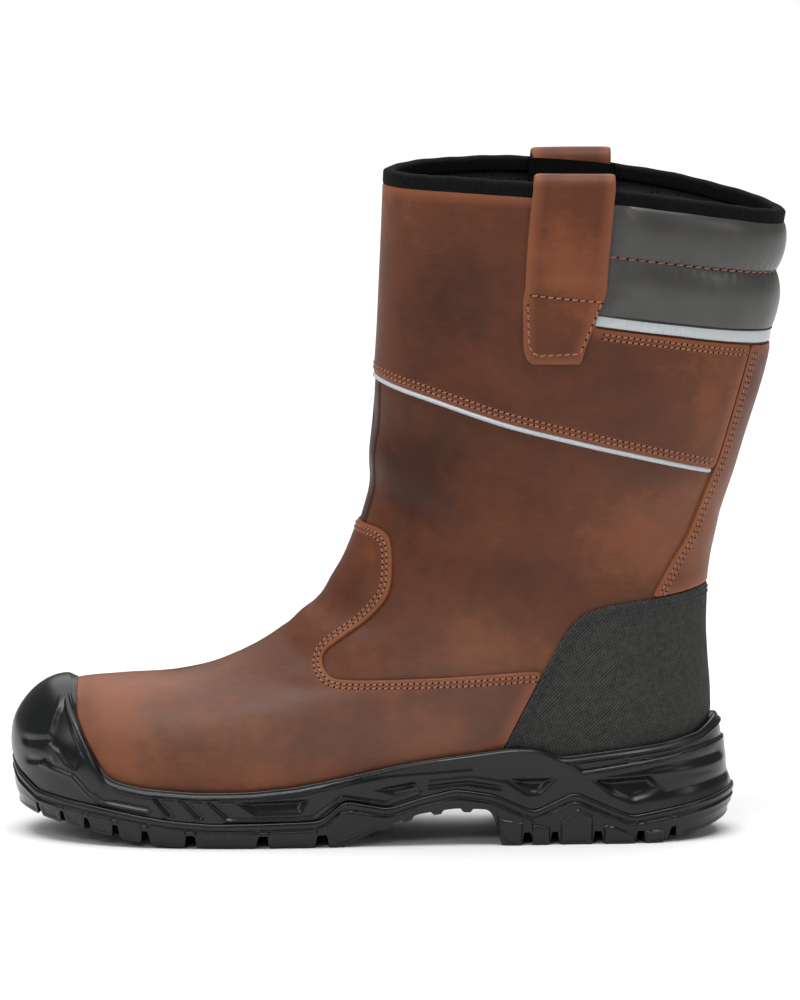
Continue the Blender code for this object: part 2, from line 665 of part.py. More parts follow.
def make_collar(parts):
    """Padded roll round the back of the collar, with the reflective band under it."""
    start = turn_at(PAD_LEVEL, PAD_FRONT_X, -1)
    end = 2.0 * math.pi - start
    margin = 0.25 * math.pi / SIDE_COLUMNS
    turns = [start] + [turn for turn in loop_turns() if start + margin < turn < end - margin] + [end]
    shares = [roll.across for roll in PAD_ROLLS]
    pad_low = shifted(PAD_LOW, 0.0, SEAT_GAP)
    pad_top = rim_line(BINDING_DROP + 2.0 * SEAT_GAP)
    under = strip_grid(turns, pad_low, pad_top, shares, lambda share: PAD_GAP)
    over = strip_grid(turns, pad_low, pad_top, shares, lambda share: PAD_GAP + along(PAD_ROLLS, share))
    patch_solid("collar_pad", under, over, parts, PADDING)
    band_top = shifted(PAD_LOW, 0.0, -SEAT_GAP)
    band_low = shifted(BAND_LOW, 0.0, SEAT_GAP)
    under = strip_grid(turns, band_low, band_top, (0.0, 1.0), lambda share: SEAT_GAP)
    over = strip_grid(turns, band_low, band_top, (0.0, 1.0), lambda share: SEAT_GAP + OVERLAY_WALL)
    patch_solid("reflective_band", under, over, parts, REFLECTIVE)


def make_binding(parts):
    """Tape folded over the collar's rim."""
    turns = loop_turns()
    top = len(LAST) - 1.0
    rise = Vector((0.0, 0.0, 1.0))

    def ring(distance, height):
        line = []
        for turn in turns:
            rim = skin(top, turn)
            if height < 0.0:
                level = level_where(turn, lambda point: point.z < rim.z + height)
                line.append(raised(level, turn, distance))
            else:
                line.append(raised(top, turn, distance) + rise * height)
        return line

    outside = SEAT_GAP + BINDING_WALL
    within = -LEATHER_WALL - SEAT_GAP
    lining = within - BINDING_WALL
    fold = outside - BINDING_ROUND
    rings = [
        ring(SEAT_GAP, -BINDING_DROP), ring(outside, -BINDING_DROP), ring(fold, fold),
        ring(lining + BINDING_ROUND, fold), ring(lining, -BINDING_DROP),
        ring(within, -BINDING_DROP), ring(within, SEAT_GAP), ring(SEAT_GAP, SEAT_GAP),
    ]
    ring_solid("collar_binding", rings, parts, TAPE, tube=True)


def make_piping(parts):
    """Light cord let in under the cuff panel's lower edge."""
    edge = rounded(PANEL_EDGE)
    end = on_skin(PIPING_END.x, PIPING_END.z, -1)[1]
    turns = [turn for turn in loop_turns() if turn < end or turn > 2.0 * math.pi - end]
    turns = [turn for turn in turns if turn > math.pi] + [turn for turn in turns if turn <= math.pi]
    turns = [2.0 * math.pi - end] + turns + [end]
    high = shifted(edge, 0.0, -SEAT_GAP)
    low = shifted(edge, 0.0, -SEAT_GAP - PIPING_DROP)
    under = strip_grid(turns, low, high, (0.0, 1.0), lambda share: SEAT_GAP)
    over = strip_grid(turns, low, high, (0.0, 1.0), lambda share: SEAT_GAP + PIPING_WALL)
    patch_solid("reflective_piping", under, over, parts, REFLECTIVE)


def make_pull_loop(name, side, parts):
    """Leather strap folded over the collar, sewn down outside and inside."""
    seat = SEAT_GAP + OVERLAY_WALL + SEAT_GAP
    under_inside = LEATHER_WALL + SEAT_GAP + BINDING_WALL + SEAT_GAP
    top = len(LAST) - 1.0
    under = []
    over = []

    def row(strap, distance, height):
        line = []
        for step in range(STRAP_ACROSS + 1):
            x = strap.fore_x + (strap.back_x - strap.fore_x) * step / STRAP_ACROSS
            if height is None:
                level, turn = on_skin(x, strap.height, side)
                line.append(raised(level, turn, distance))
            else:
                turn = turn_at(top, x, side)
                flat = skin_normal(top, turn)
                flat.z = 0.0
                rim = skin(top, turn)
                line.append(Vector((rim.x, rim.y, strap.height)) + flat.normalized() * distance
                            + Vector((0.0, 0.0, height)))
        return line

    for strap in STRAP_OUTSIDE:
        under.append(row(strap, seat, None))
        over.append(row(strap, seat + STRAP_WALL, None))
    middle = 0.5 * (seat - under_inside)
    reach = 0.5 * (seat + under_inside)
    for step in range(STRAP_ARCH_STEPS + 1):
        angle = math.pi * step / STRAP_ARCH_STEPS
        across = math.cos(angle)
        up = math.sin(angle)
        crown = STRAP_ARCH + STRAP_WALL
        under.append(row(STRAP_TOP, middle + reach * across, STRAP_ARCH * up + STRAP_SPRING))
        over.append(row(STRAP_TOP, middle + (reach + STRAP_WALL) * across, crown * up + STRAP_SPRING))
    for strap in STRAP_INSIDE:
        under.append(row(strap, -under_inside, None))
        over.append(row(strap, -under_inside - STRAP_WALL, None))
    patch_solid(name, under, over, parts, LEATHER)


def sole_columns():
    """Turn, station and plan direction of each column round the sole."""
    columns = []
    for station in SOLE:
        columns.append((turn_at(0.0, station.x, -1), station))
    columns[0] = (0.0, SOLE[0])
    columns[-1] = (math.pi, SOLE[-1])
    mirrored = [(2.0 * math.pi - turn, station) for turn, station in reversed(columns[1:-1])]
    return columns + mirrored


def plan_point(turn, distance, height):
    """Point of the sole's outline, moved out from the feather edge in plan."""
    around = skin(0.0, turn + TURN_STEP) - skin(0.0, turn - TURN_STEP)
    out = Vector((around.y, -around.x, 0.0)).normalized()
    foot = skin(0.0, turn)
    return Vector((foot.x, foot.y, height)) + out * distance


def tray_height(station):
    """Height of the tread's inside, which the cup sits on."""
    floor = station.underside + TRAY_THICK
    return min(floor + TRAY_SHARE * max(0.0, station.lip - floor - TRAY_SLACK), station.lip - LIP_DEPTH)


def make_outsole(parts, cutters):
    """Rubber tread with a raised lip, cut into lugs."""
    columns = sole_columns()

    def ring(distance, height):
        return [plan_point(turn, distance + station.flare, height(station)) for turn, station in columns]

    rings = [
        ring(TREAD_DRAFT, lambda row: row.underside),
        ring(LIP_OUT - SIDE_DRAFT, lambda row: row.underside + SIDE_BREAK * (row.lip - row.underside)),
        ring(LIP_OUT, lambda row: row.lip - LIP_EDGE),
        ring(LIP_OUT - LIP_ROUND, lambda row: row.lip),
        ring(LIP_IN, lambda row: row.lip),
        ring(LIP_IN, tray_height),
    ]
    outsole = ring_solid("outsole", rings, parts, RUBBER)
    blocks = []
    spine = []
    for groove in GROOVES:
        underside = along([(row.x, row.underside) for row in SOLE], groove.x)
        for side in (-1.0, 1.0):
            blocks.append(groove_block(groove, side, underside, cutters))
    for start, end in SPINE_RUNS:
        for side in (-1.0, 1.0):
            spine.append(box_block(start, end, side * SPINE_Y, SPINE_WIDTH, SPINE_DEPTH, cutters))
    cut(outsole, joined("edge_grooves", blocks), "DIFFERENCE")
    cut(outsole, joined("spine_grooves", spine), "DIFFERENCE")


def box_block(start, end, middle_y, width, depth, cutters):
    """Cutter for a straight groove along the sole."""
    middle_x = 0.5 * (start + end)
    swing = soft_along(FOOT_CURVE, middle_x)
    corners = [
        Point(start, -CUT_BELOW), Point(end, -CUT_BELOW),
        Point(end - depth, depth), Point(start + depth, depth),
    ]
    low = middle_y + swing - 0.5 * width
    return prism("spine_groove", corners, low, low + width, cutters)


def groove_block(groove, side, underside, cutters):
    """Cutter for a slanting groove at the sole's edge."""
    slope = math.tan(math.radians(groove.slant))
    points = []
    swing = soft_along(FOOT_CURVE, groove.x)
    for y in (GROOVE_INNER, GROOVE_OUTER):
        for z in (underside - CUT_BELOW, underside + LUG_DEPTH):
            for edge in (-0.5, 0.5):
                lean = slope * (y - GROOVE_PIVOT)
                points.append(Vector((groove.x + edge * groove.width + lean, side * y + swing, z)))
    faces = [(0, 1, 3, 2), (4, 6, 7, 5), (0, 4, 5, 1), (2, 3, 7, 6), (0, 2, 6, 4), (1, 5, 7, 3)]
    return add_solid("edge_groove", points, faces, cutters)


def make_midsole(parts, cutters):
    """Moulded cup: floor, side walls with a step, heel cup and toe cap, with a beaded rim."""
    columns = sole_columns()
    rim_area = CUP_RIM_LINE + [
        Point(AHEAD, CUP_RIM_LINE[-1].z), Point(AHEAD, BELOW), Point(CUP_RIM_LINE[0].x, BELOW)]
    spans = []
    for turn, station in columns:
        rim = level_where(turn, lambda point: inside(rim_area, point))
        lip = level_where(turn, lambda point: point.z < station.lip + LIP_REVEAL)
        step = level_where(turn, lambda point: point.z < station.step)
        step = clamp(step, lip + STEP_LOW * (rim - lip), lip + STEP_HIGH * (rim - lip))
        spans.append({"floor": 0.0, "lip": lip, "step": step, "rim": rim})

    def wall(row):
        line = []
        for (turn, station), span in zip(columns, spans):
            level = span[row.start] + row.share * (span[row.end] - span[row.start])
            shift = row.flare * station.flare - row.step * station.step_depth
            line.append(raised(level, turn, row.distance + shift))
        return line

    def plan(distance, height):
        return [plan_point(turn, distance + station.flare, height(station)) for turn, station in columns]

    floor = [plan_point(turn, CUP_CLEARANCE, skin(0.0, turn).z - SEAT_GAP) for turn, _ in columns]
    base = [
        plan(LIP_OUT - SIDE_DRAFT, lambda row: row.lip + SEAT_GAP),
        plan(LIP_IN - SEAT_GAP, lambda row: row.lip + SEAT_GAP),
        plan(LIP_IN - SEAT_GAP, lambda row: tray_height(row) + SEAT_GAP),
    ]
    midsole = ring_solid("midsole", [floor] + [wall(row) for row in CUP_RINGS] + base, parts, RUBBER)
    dents = []
    for recess in RECESSES:
        x = sum(point.x for point in recess.outline) / len(recess.outline)
        z = sum(point.z for point in recess.outline) / len(recess.outline)
        for side in (-1.0, 1.0):
            feather = skin(0.0, turn_at(0.0, x, side)).z
            level, turn = on_skin(x, max(z, feather + SEAT_GAP), side)
            face = raised(level, turn, CUP_FACE + SEAT_GAP).y
            near = face - side * recess.depth
            far = face + side * RECESS_REACH
            dents.append(prism("recess", recess.outline, near, far, cutters))
    cut(midsole, joined("side_recesses", dents), "DIFFERENCE")


def make_insole(parts):
    """Footbed that lies on the cup's floor inside the upper."""
    columns = [turn for turn, _ in sole_columns()]

    def ring(margin, height):
        return [plan_point(turn, -margin, skin(0.0, turn).z + height) for turn in columns]

    rings = [
        ring(INSOLE_MARGIN, 0.0), ring(INSOLE_MARGIN, INSOLE_THICK - INSOLE_ROUND),
        ring(INSOLE_MARGIN + INSOLE_ROUND, INSOLE_THICK),
    ]
    ring_solid("insole", rings, parts, FELT)


def main():
    for scene_object in list(bpy.data.objects):
        bpy.data.objects.remove(scene_object)
    parts = new_collection(OBJECT_NAME)
    cutters = new_collection("cutters")
    make_upper(parts)
    make_insole(parts)
    make_outsole(parts, cutters)
    make_midsole(parts, cutters)
    make_overlays(parts, cutters)
    make_collar(parts)
    make_binding(parts)
    make_piping(parts)
    make_pull_loop("pull_loop_outer", -1, parts)
    make_pull_loop("pull_loop_inner", 1, parts)
    centre = Matrix.Translation(Vector(FRAME_SHIFT) * MM)
    for solid in list(parts.objects) + list(cutters.objects):
        solid.data.transform(centre)


main()
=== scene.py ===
"""Looks of a pull-on safety boot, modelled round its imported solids.

The boot stands with its toe towards -X, the outer side of the foot towards -Y and
+Z up. Shapes are worked out in millimetres on the boot's last, the form that the
leather is drawn over, and become metres when a mesh is made.
"""

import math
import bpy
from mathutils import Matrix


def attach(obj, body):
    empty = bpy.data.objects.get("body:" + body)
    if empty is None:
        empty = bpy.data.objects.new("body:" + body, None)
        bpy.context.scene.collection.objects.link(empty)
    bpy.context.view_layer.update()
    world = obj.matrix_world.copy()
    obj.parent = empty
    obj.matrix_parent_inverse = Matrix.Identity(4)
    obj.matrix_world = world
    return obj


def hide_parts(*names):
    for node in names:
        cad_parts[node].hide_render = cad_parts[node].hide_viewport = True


bl_info = {
    "name": "Safety boot",
    "version": (1, 0, 0),
    "blender": (4, 5, 0),
    "location": "View3D > Sidebar > Boot",
    "description": "Builds the leather, padding, tapes, stitching and sole of a pull-on safety boot",
    "category": "Add Mesh",
}

from collections import namedtuple

import bpy
import numpy as np
from mathutils import Vector
from mathutils.kdtree import KDTree

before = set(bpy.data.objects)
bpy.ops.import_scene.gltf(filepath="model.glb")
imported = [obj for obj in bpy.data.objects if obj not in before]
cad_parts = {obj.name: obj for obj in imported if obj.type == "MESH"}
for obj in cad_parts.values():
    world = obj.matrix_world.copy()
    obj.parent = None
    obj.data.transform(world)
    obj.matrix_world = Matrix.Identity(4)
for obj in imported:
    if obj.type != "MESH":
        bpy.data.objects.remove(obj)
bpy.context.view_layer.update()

MM = 0.001
BODY = "root"
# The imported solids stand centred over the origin; the last is drawn this far from there, mm
FRAME_SHIFT = np.array((0.55, 0.8, 0.0))


def linear(hex_colour):
    """Scene-linear RGBA of an sRGB hex colour."""
    channels = [int(hex_colour[start:start + 2], 16) / 255.0 for start in (1, 3, 5)]
    steps = [value / 12.92 if value <= 0.04045 else ((value + 0.055) / 1.055) ** 2.4 for value in channels]
    return (*steps, 1.0)


def length_prop(name, description, default):
    """Size in millimetres that a user may change."""
    return bpy.props.FloatProperty(name=name, description=description, default=default, min=0.0)


def colour_prop(name, description, hex_colour):
    """Colour that a user may change, given as sRGB hex."""
    return bpy.props.FloatVectorProperty(
        name=name, description=description, subtype="COLOR", size=4, min=0.0, max=1.0,
        default=linear(hex_colour))


class BootSizes(bpy.types.PropertyGroup):
    """Thicknesses and stitching of the boot, in millimetres."""

    seat: length_prop("Seat", "Gap between the upper and what is sewn on it, mm", 0.25)
    wall: length_prop("Leather wall", "Thickness of the upper with its lining, mm", 2.4)
    overlay: length_prop("Overlay", "Thickness of a leather overlay, mm", 1.35)
    thread: length_prop("Thread", "Thickness of the sewing thread, mm", 0.75)
    stitch: length_prop("Stitch", "Length of one stitch on show, mm", 1.95)
    pitch: length_prop("Stitch pitch", "Distance from one stitch to the next, mm", 2.6)
    inset: length_prop("Seam inset", "Distance of the first stitch row from an edge, mm", 2.0)
    rows: length_prop("Seam rows", "Distance between two stitch rows, mm", 2.0)
    grain: length_prop("Leather grain", "Size of a pebble of the leather's grain, mm", 1.1)
    weave: length_prop("Weave", "Thread spacing of the abrasion fabric, mm", 1.15)


class BootColours(bpy.types.PropertyGroup):
    """Colours of the boot's materials."""

    hide: colour_prop("Hide", "Body colour of the oiled leather", "#673821")
    hide_dark: colour_prop("Hide, dark", "Oil-darkened clouds of the leather", "#3a1e13")
    hide_light: colour_prop("Hide, light", "Pulled-up, stretched leather", "#8d502e")
    hide_edge: colour_prop("Hide, edge", "Raw and rubbed edges of the leather", "#95593a")
    # Painted sheen: a grey haze mixed into the leather's colour where soft highlights lie
    hide_painted_sheen: colour_prop("Hide, bloom", "Wax haze on the rubbed leather", "#7a726c")
    thread: colour_prop("Thread", "Sewing thread on the leather", "#94614a")
    thread_dark: colour_prop("Thread, dark", "Sewing thread on the abrasion fabric", "#17171a")
    moulding: colour_prop("Moulding", "Black moulded cup and tread", "#0b0d0d")
    fabric: colour_prop("Abrasion fabric", "Woven heel counter", "#222321")
    padding: colour_prop("Padding", "Coated cover of the padded collar", "#3d3c3a")
    reflective: colour_prop("Reflective", "Light band and piping", "#bfc5c9")
    tape: colour_prop("Tape", "Binding of the collar", "#060606")
    lining: colour_prop("Lining", "Air mesh inside the boot", "#151517")
    floor: colour_prop("Floor", "Plain pale floor", "#f4f4f4")


# Sections of the last, from the feather edge up to the collar, mm. Each runs from a point
# on the front of the boot to one on its back, over a bend point, and has half widths at
# the ball, waist and heel and the roundness of its toe and heel.
Section = namedtuple(
    "Section",
    "front_x front_z bend_x bend_z back_x back_z ball waist heel toe_round heel_round")
LAST = [
    Section(-157.5, 20.0, -20.0, 20.0, 128.5, 20.0, 44.5, 37.0, 32.5, 62.0, 40.0),
    Section(-159.2, 36.0, -30.0, 25.0, 129.4, 39.0, 46.3, 39.0, 34.0, 68.0, 42.0),
    Section(-157.4, 47.6, -60.0, 36.0, 130.4, 50.0, 47.0, 40.0, 35.0, 86.0, 44.0),
    Section(-150.4, 57.7, -95.0, 42.0, 130.4, 58.0, 47.0, 40.5, 35.5, 112.0, 46.0),
    Section(-138.0, 63.4, -105.0, 46.0, 130.1, 65.0, 47.0, 40.5, 35.5, 124.0, 47.0),
    Section(-118.0, 65.8, -95.0, 52.0, 129.5, 72.0, 47.0, 40.5, 35.5, 130.0, 48.0),
    Section(-95.0, 67.6, -80.0, 60.0, 129.0, 79.5, 46.5, 40.5, 35.5, 130.0, 49.0),
    Section(-73.5, 73.1, -60.0, 67.0, 128.6, 88.0, 45.5, 40.5, 35.5, 98.0, 50.0),
    Section(-50.4, 85.8, -35.0, 79.0, 128.8, 98.0, 43.0, 40.5, 36.0, 68.0, 51.0),
    Section(-28.8, 107.0, -5.0, 98.5, 129.6, 113.0, 41.5, 40.5, 36.5, 60.0, 53.0),
    Section(-15.7, 137.0, 30.0, 128.0, 133.9, 135.0, 41.5, 41.5, 37.5, 62.0, 57.0),
    Section(-12.0, 168.0, 60.0, 163.0, 144.0, 168.0, 42.5, 43.0, 40.0, 67.0, 63.0),
    Section(-8.9, 208.0, 72.0, 206.0, 155.0, 206.0, 44.0, 45.0, 43.5, 74.0, 71.0),
    Section(-6.9, 250.0, 76.0, 250.0, 157.6, 240.0, 45.0, 46.5, 46.0, 82.0, 78.0),
    Section(-5.6, 282.6, 80.0, 286.4, 162.0, 265.6, 45.0, 47.0, 47.0, 88.0, 82.0),
]
LAST_ROWS = np.array(LAST)
TOP = len(LAST) - 1.0
BALL_X, WAIST_X, HEEL_X = -80.0, 10.0, 95.0

# Height that the foot bed adds to the lowest sections, by place along the foot
Lift = namedtuple("Lift", "x height")
FOOT_BED = [
    Lift(-165.0, 6.5), Lift(-130.0, -1.5), Lift(-95.0, -6.0), Lift(-60.0, -6.0),
    Lift(-20.0, 0.5), Lift(20.0, 6.5), Lift(70.0, 8.5), Lift(135.0, 8.0),
]
FOOT_BED_ROWS = 3.0

# Sideways curve of the foot: the toe turns inward, the waist outward
Swing = namedtuple("Swing", "x offset")
FOOT_CURVE = [
    Swing(-170.0, 5.0), Swing(-120.0, 1.5), Swing(-80.0, -1.5), Swing(-20.0, -3.5),
    Swing(40.0, -2.5), Swing(100.0, -0.5), Swing(140.0, 0.0),
]
CURVE_FADE_LOW, CURVE_FADE_HIGH = 70.0, 190.0
SOFT_REACH = 9.0
PROBE = 0.01
HALVINGS = 34

# Creases of the worn-in leather in side view: soft troughs with a ridge beside them, mm
Crease = namedtuple("Crease", "x z end_x end_z depth width side")
BOTH, OUTER, INNER = 0, -1, 1
CREASES = [
    Crease(-34.0, 101.0, -12.0, 94.0, 1.0, 6.0, BOTH),
    Crease(-46.0, 84.0, -28.0, 72.0, 0.8, 6.5, OUTER),
    Crease(-12.0, 150.0, 12.0, 140.0, 1.0, 8.0, BOTH),
    Crease(-10.0, 176.0, 22.0, 168.0, 0.7, 10.0, OUTER),
    Crease(20.0, 128.0, 64.0, 112.0, 0.8, 14.0, OUTER),
    Crease(96.0, 132.0, 126.0, 140.0, 0.9, 8.0, BOTH),
    Crease(88.0, 116.0, 122.0, 118.0, 0.6, 8.0, OUTER),
    Crease(18.0, 250.0, 26.0, 214.0, 0.9, 13.0, OUTER),
    Crease(-90.0, 62.0, -70.0, 40.0, 0.7, 12.0, OUTER),
    Crease(-6.0, 60.0, 30.0, 56.0, 0.5, 11.0, OUTER),
    Crease(-40.0, 90.0, -20.0, 74.0, 0.9, 7.0, INNER),
    Crease(30.0, 150.0, 70.0, 130.0, 0.9, 13.0, INNER),
    Crease(10.0, 230.0, 30.0, 200.0, 0.8, 14.0, INNER),
]
RIDGE_SHARE = 0.45
RIDGE_OFFSET = 1.7
RIDGE_LENGTH = 3.0


def ease(value):
    """Smooth step from 0 to 1."""
    value = np.clip(value, 0.0, 1.0)
    return value * value * (3.0 - 2.0 * value)


def along(rows, place):
    """Straight-line reading of a two-column table."""
    table = np.array(rows)
    return np.interp(place, table[:, 0], table[:, 1])


def soft_along(rows, place):
    """Eased reading of a two-column table, with no kinks at its rows."""
    steps = (-1.5, -0.5, 0.5, 1.5)
    return sum(along(rows, place + SOFT_REACH * step) for step in steps) / len(steps)


def eased_between(before, low, high, after, t):
    """Smooth curve from low to high that leans on the rows before and after them."""
    curve = 2.0 * low + (high - before) * t + (2.0 * before - 5.0 * low + 4.0 * high - after) * t ** 2
    return 0.5 * (curve + (3.0 * low - before - 3.0 * high + after) * t ** 3)


def last_section(level):
    """Section of the last at levels counted in rows of the LAST table."""
    level = np.clip(level, 0.0, TOP)
    row = np.minimum(level.astype(int), len(LAST) - 2)
    near = (LAST_ROWS[np.clip(row + step, 0, len(LAST) - 1)] for step in (-1, 0, 1, 2))
    return Section(*np.moveaxis(eased_between(*near, (level - row)[..., None]), -1, 0))


def quarter(value):
    """Quarter ellipse that rounds a section towards its end."""
    return np.sqrt(np.maximum(0.0, 1.0 - (1.0 - np.clip(value, 0.0, 1.0)) ** 2))


def bare_last(level, turn):
    """Points on the last; turn is 0 at the front and pi at the back, outer side first."""
    level, turn = np.broadcast_arrays(np.asarray(level, float), np.asarray(turn, float))
    section = last_section(level)
    share = 0.5 - 0.5 * np.cos(turn)
    front, bend, back = (1.0 - share) ** 2, 2.0 * share * (1.0 - share), share ** 2
    x = front * section.front_x + bend * section.bend_x + back * section.back_x
    z = front * section.front_z + bend * section.bend_z + back * section.back_z
    from_front = np.hypot(x - section.front_x, z - section.front_z)
    from_back = np.hypot(x - section.back_x, z - section.back_z)
    fore = section.ball + (section.waist - section.ball) * ease((x - BALL_X) / (WAIST_X - BALL_X))
    rear = section.waist + (section.heel - section.waist) * ease((x - WAIST_X) / (HEEL_X - WAIST_X))
    width = np.where(x < WAIST_X, fore, rear)
    width = width * quarter(from_front / section.toe_round) * quarter(from_back / section.heel_round)
    z = z + soft_along(FOOT_BED, x) * (1.0 - ease(level / FOOT_BED_ROWS))
    fade = 1.0 - ease((z - CURVE_FADE_LOW) / (CURVE_FADE_HIGH - CURVE_FADE_LOW))
    side = np.where(np.mod(turn, 2.0 * np.pi) <= np.pi, -1.0, 1.0)
    return np.stack((x, soft_along(FOOT_CURVE, x) * fade + side * width, z), axis=-1)


def unit(vectors):
    """Vectors at length 1."""
    return vectors / np.maximum(np.linalg.norm(vectors, axis=-1, keepdims=True), 1e-9)


def outward(level, turn):
    """Outward direction of the last."""
    level, turn = np.broadcast_arrays(np.asarray(level, float), np.asarray(turn, float))
    around = bare_last(level, turn + PROBE) - bare_last(level, turn - PROBE)
    upward = bare_last(np.minimum(level + PROBE, TOP), turn) - bare_last(np.maximum(level - PROBE, 0.0), turn)
    return unit(np.cross(around, upward))


def segment_distance(x, z, start, end):
    """Distance in side view from points to a straight stretch, and the side they lie on."""
    run_x, run_z = end[0] - start[0], end[1] - start[1]
    length = max(run_x ** 2 + run_z ** 2, 1e-9)
    share = np.clip(((x - start[0]) * run_x + (z - start[1]) * run_z) / length, 0.0, 1.0)
    off_x, off_z = x - start[0] - share * run_x, z - start[1] - share * run_z
    return np.hypot(off_x, off_z), (run_x * off_z - run_z * off_x) / math.sqrt(length)


def creasing(points):
    """Height that the creases add to the leather."""
    x, z = points[..., 0], points[..., 2]
    side = np.sign(points[..., 1])
    height = np.zeros(x.shape)
    for crease in CREASES:
        distance, offset = segment_distance(x, z, (crease.x, crease.z), (crease.end_x, crease.end_z))
        reach = distance / crease.width
        trough = np.exp(-reach ** 2)
        ridge = np.exp(-(offset / crease.width - RIDGE_OFFSET) ** 2 - (reach / RIDGE_LENGTH) ** 2)
        here = 1.0 if crease.side == BOTH else (side == crease.side)
        height += crease.depth * here * (RIDGE_SHARE * ridge - trough)
    return height


def skin(level, turn, distance=0.0):
    """Points of the creased leather, at a distance outward from it."""
    points = bare_last(level, turn)
    distance = np.asarray(distance, float) + creasing(points)
    return points + outward(level, turn) * distance[..., None]


def bisected(low, high, holds):
    """Places between two bounds up to which a test holds, by halving."""
    for _ in range(HALVINGS):
        middle = 0.5 * (low + high)
        good = holds(middle)
        low = np.where(good, middle, low)
        high = np.where(good, high, middle)
    return low


def level_where(turns, below, steps=420):
    """Highest level of each column of the last, from its foot up, where a test of x and z holds."""
    levels = np.linspace(0.0, TOP, steps)
    points = bare_last(levels[:, None], turns[None, :])
    holds = below(points[..., 0], points[..., 2])
    first = np.where(holds.all(axis=0), steps - 1, np.argmin(holds, axis=0))

    def holds_at(level):
        point = bare_last(level, turns)
        return below(point[..., 0], point[..., 2])

    return bisected(levels[np.maximum(first - 1, 0)], levels[first], holds_at)


def turn_at(level, x, side):
    """Turns at which levels of the last cross places along the foot, on one side."""
    level, x = np.broadcast_arrays(np.asarray(level, float), np.asarray(x, float))
    turn = bisected(np.zeros(x.shape), np.full(x.shape, np.pi), lambda t: bare_last(level, t)[..., 0] < x)
    return turn if side < 0 else 2.0 * np.pi - turn


def on_last(x, z, side):
    """Levels and turns of the last's points at places in side view."""
    x, z = np.broadcast_arrays(np.asarray(x, float), np.asarray(z, float))
    level = bisected(np.zeros(x.shape), np.full(x.shape, TOP),
                     lambda low: bare_last(low, turn_at(low, x, -1))[..., 2] < z)
    return level, turn_at(level, x, side)


Point = namedtuple("Point", "x z")
Patch = namedtuple("Patch", "level turn faces")
SMOOTH_DEGREES = 40.0
EDGE_ROUND = 0.3
EDGE_MIDDLE = 0.4
UNDERSIDE = 0.02


def rounded(points, steps=10):
    """Line through hand-placed points in side view, eased between them."""
    line = np.array(points, float)
    padded = np.vstack((line[:1], line, line[-1:]))
    t = np.linspace(0.0, 1.0, steps, endpoint=False)[:, None]
    runs = []
    for before, low, high, after in zip(padded, padded[1:], padded[2:], padded[3:]):
        runs.append(eased_between(before, low, high, after, t))
    return np.vstack(runs + [line[-1:]])


def moved(line, across, up):
    """Side-view line moved along and up."""
    return np.asarray(line, float) + np.array((across, up))


def line_distance(line, x, z):
    """Distance in side view from an open line."""
    return np.minimum.reduce([segment_distance(x, z, start, end)[0] for start, end in zip(line, line[1:])])


def outline_depth(outline, x, z):
    """Distance in side view from an outline's edge, positive inside it."""
    closed = np.vstack((outline, outline[:1]))
    within = np.zeros(x.shape, bool)
    for start, end in zip(closed, closed[1:]):
        rise = end[1] - start[1]
        if rise:
            at = start[0] + (end[0] - start[0]) * (z - start[1]) / rise
            within ^= ((start[1] > z) != (end[1] > z)) & (x < at)
    nearest = line_distance(closed, x, z)
    return np.where(within, nearest, -nearest)


def neighbours(grid, axis, step):
    """Each cell's neighbour along an axis, and whether it has one."""
    other = np.roll(grid, -step, axis=axis)
    has = np.ones(grid.shape, bool)
    edge = [slice(None), slice(None)]
    edge[axis] = -1 if step > 0 else 0
    has[tuple(edge)] = False
    return other, has


def grid_cells(rows, columns):
    """Four corners of every cell of a grid of points."""
    index = np.arange(rows * columns).reshape(rows, columns)
    return np.stack((index[:-1, :-1], index[:-1, 1:], index[1:, 1:], index[1:, :-1]), axis=-1).reshape(-1, 4)


def clipped_patch(levels, turns, outline):
    """Grid on the last, kept inside a side-view outline, its border drawn onto that outline."""
    level, turn = np.meshgrid(levels, turns, indexing="ij")
    place = bare_last(level, turn)
    depth = outline_depth(outline, place[..., 0], place[..., 2])
    nearest = np.full(depth.shape, 0.5)
    new_level, new_turn, sign = level.copy(), turn.copy(), np.sign(depth)
    for axis in (0, 1):
        for step in (1, -1):
            other, has = neighbours(depth, axis, step)
            crossing = has & (depth * other < 0.0)
            share = np.where(crossing, depth / np.where(crossing, depth - other, 1.0), 1.0)
            better = crossing & (share <= nearest)
            nearest = np.where(better, share, nearest)
            new_level = np.where(better, level + share * (np.roll(level, -step, axis) - level), new_level)
            new_turn = np.where(better, turn + share * (np.roll(turn, -step, axis) - turn), new_turn)
            sign = np.where(better, 0.0, sign)
    corners = grid_cells(*level.shape)
    signs = sign.reshape(-1)[corners]
    centres = depth.reshape(-1)[corners].mean(axis=1)
    out = (signs < 0).sum(axis=1)
    within = (signs > 0).sum(axis=1)
    faces = [tuple(row) for row in corners[(out == 0) & ((within > 0) | (centres > 0.0))]]
    split = (out == 1) & (within > 0)
    for row, row_signs in zip(corners[split], signs[split]):
        faces.append(tuple(corner for corner, value in zip(row, row_signs) if value >= 0))
    return packed_patch(new_level.reshape(-1), new_turn.reshape(-1), faces)


def packed_patch(level, turn, faces):
    """Patch with only the points that its faces use."""
    used = np.unique(np.concatenate([np.array(face) for face in faces]))
    place = np.full(level.size, -1)
    place[used] = np.arange(used.size)
    return Patch(level[used], turn[used], [tuple(int(place[corner]) for corner in face) for face in faces])


def border_loops(faces):
    """Closed loops of a patch's border, in order, with the patch on their left seen from outside."""
    edges = set()
    for face in faces:
        edges.update(zip(face, face[1:] + face[:1]))
    after = {start: end for start, end in edges if (end, start) not in edges}
    loops = []
    while after:
        first, current = after.popitem()
        loop = [first]
        while current != first and current in after:
            loop.append(current)
            current = after.pop(current)
        loops.append(loop)
    return loops


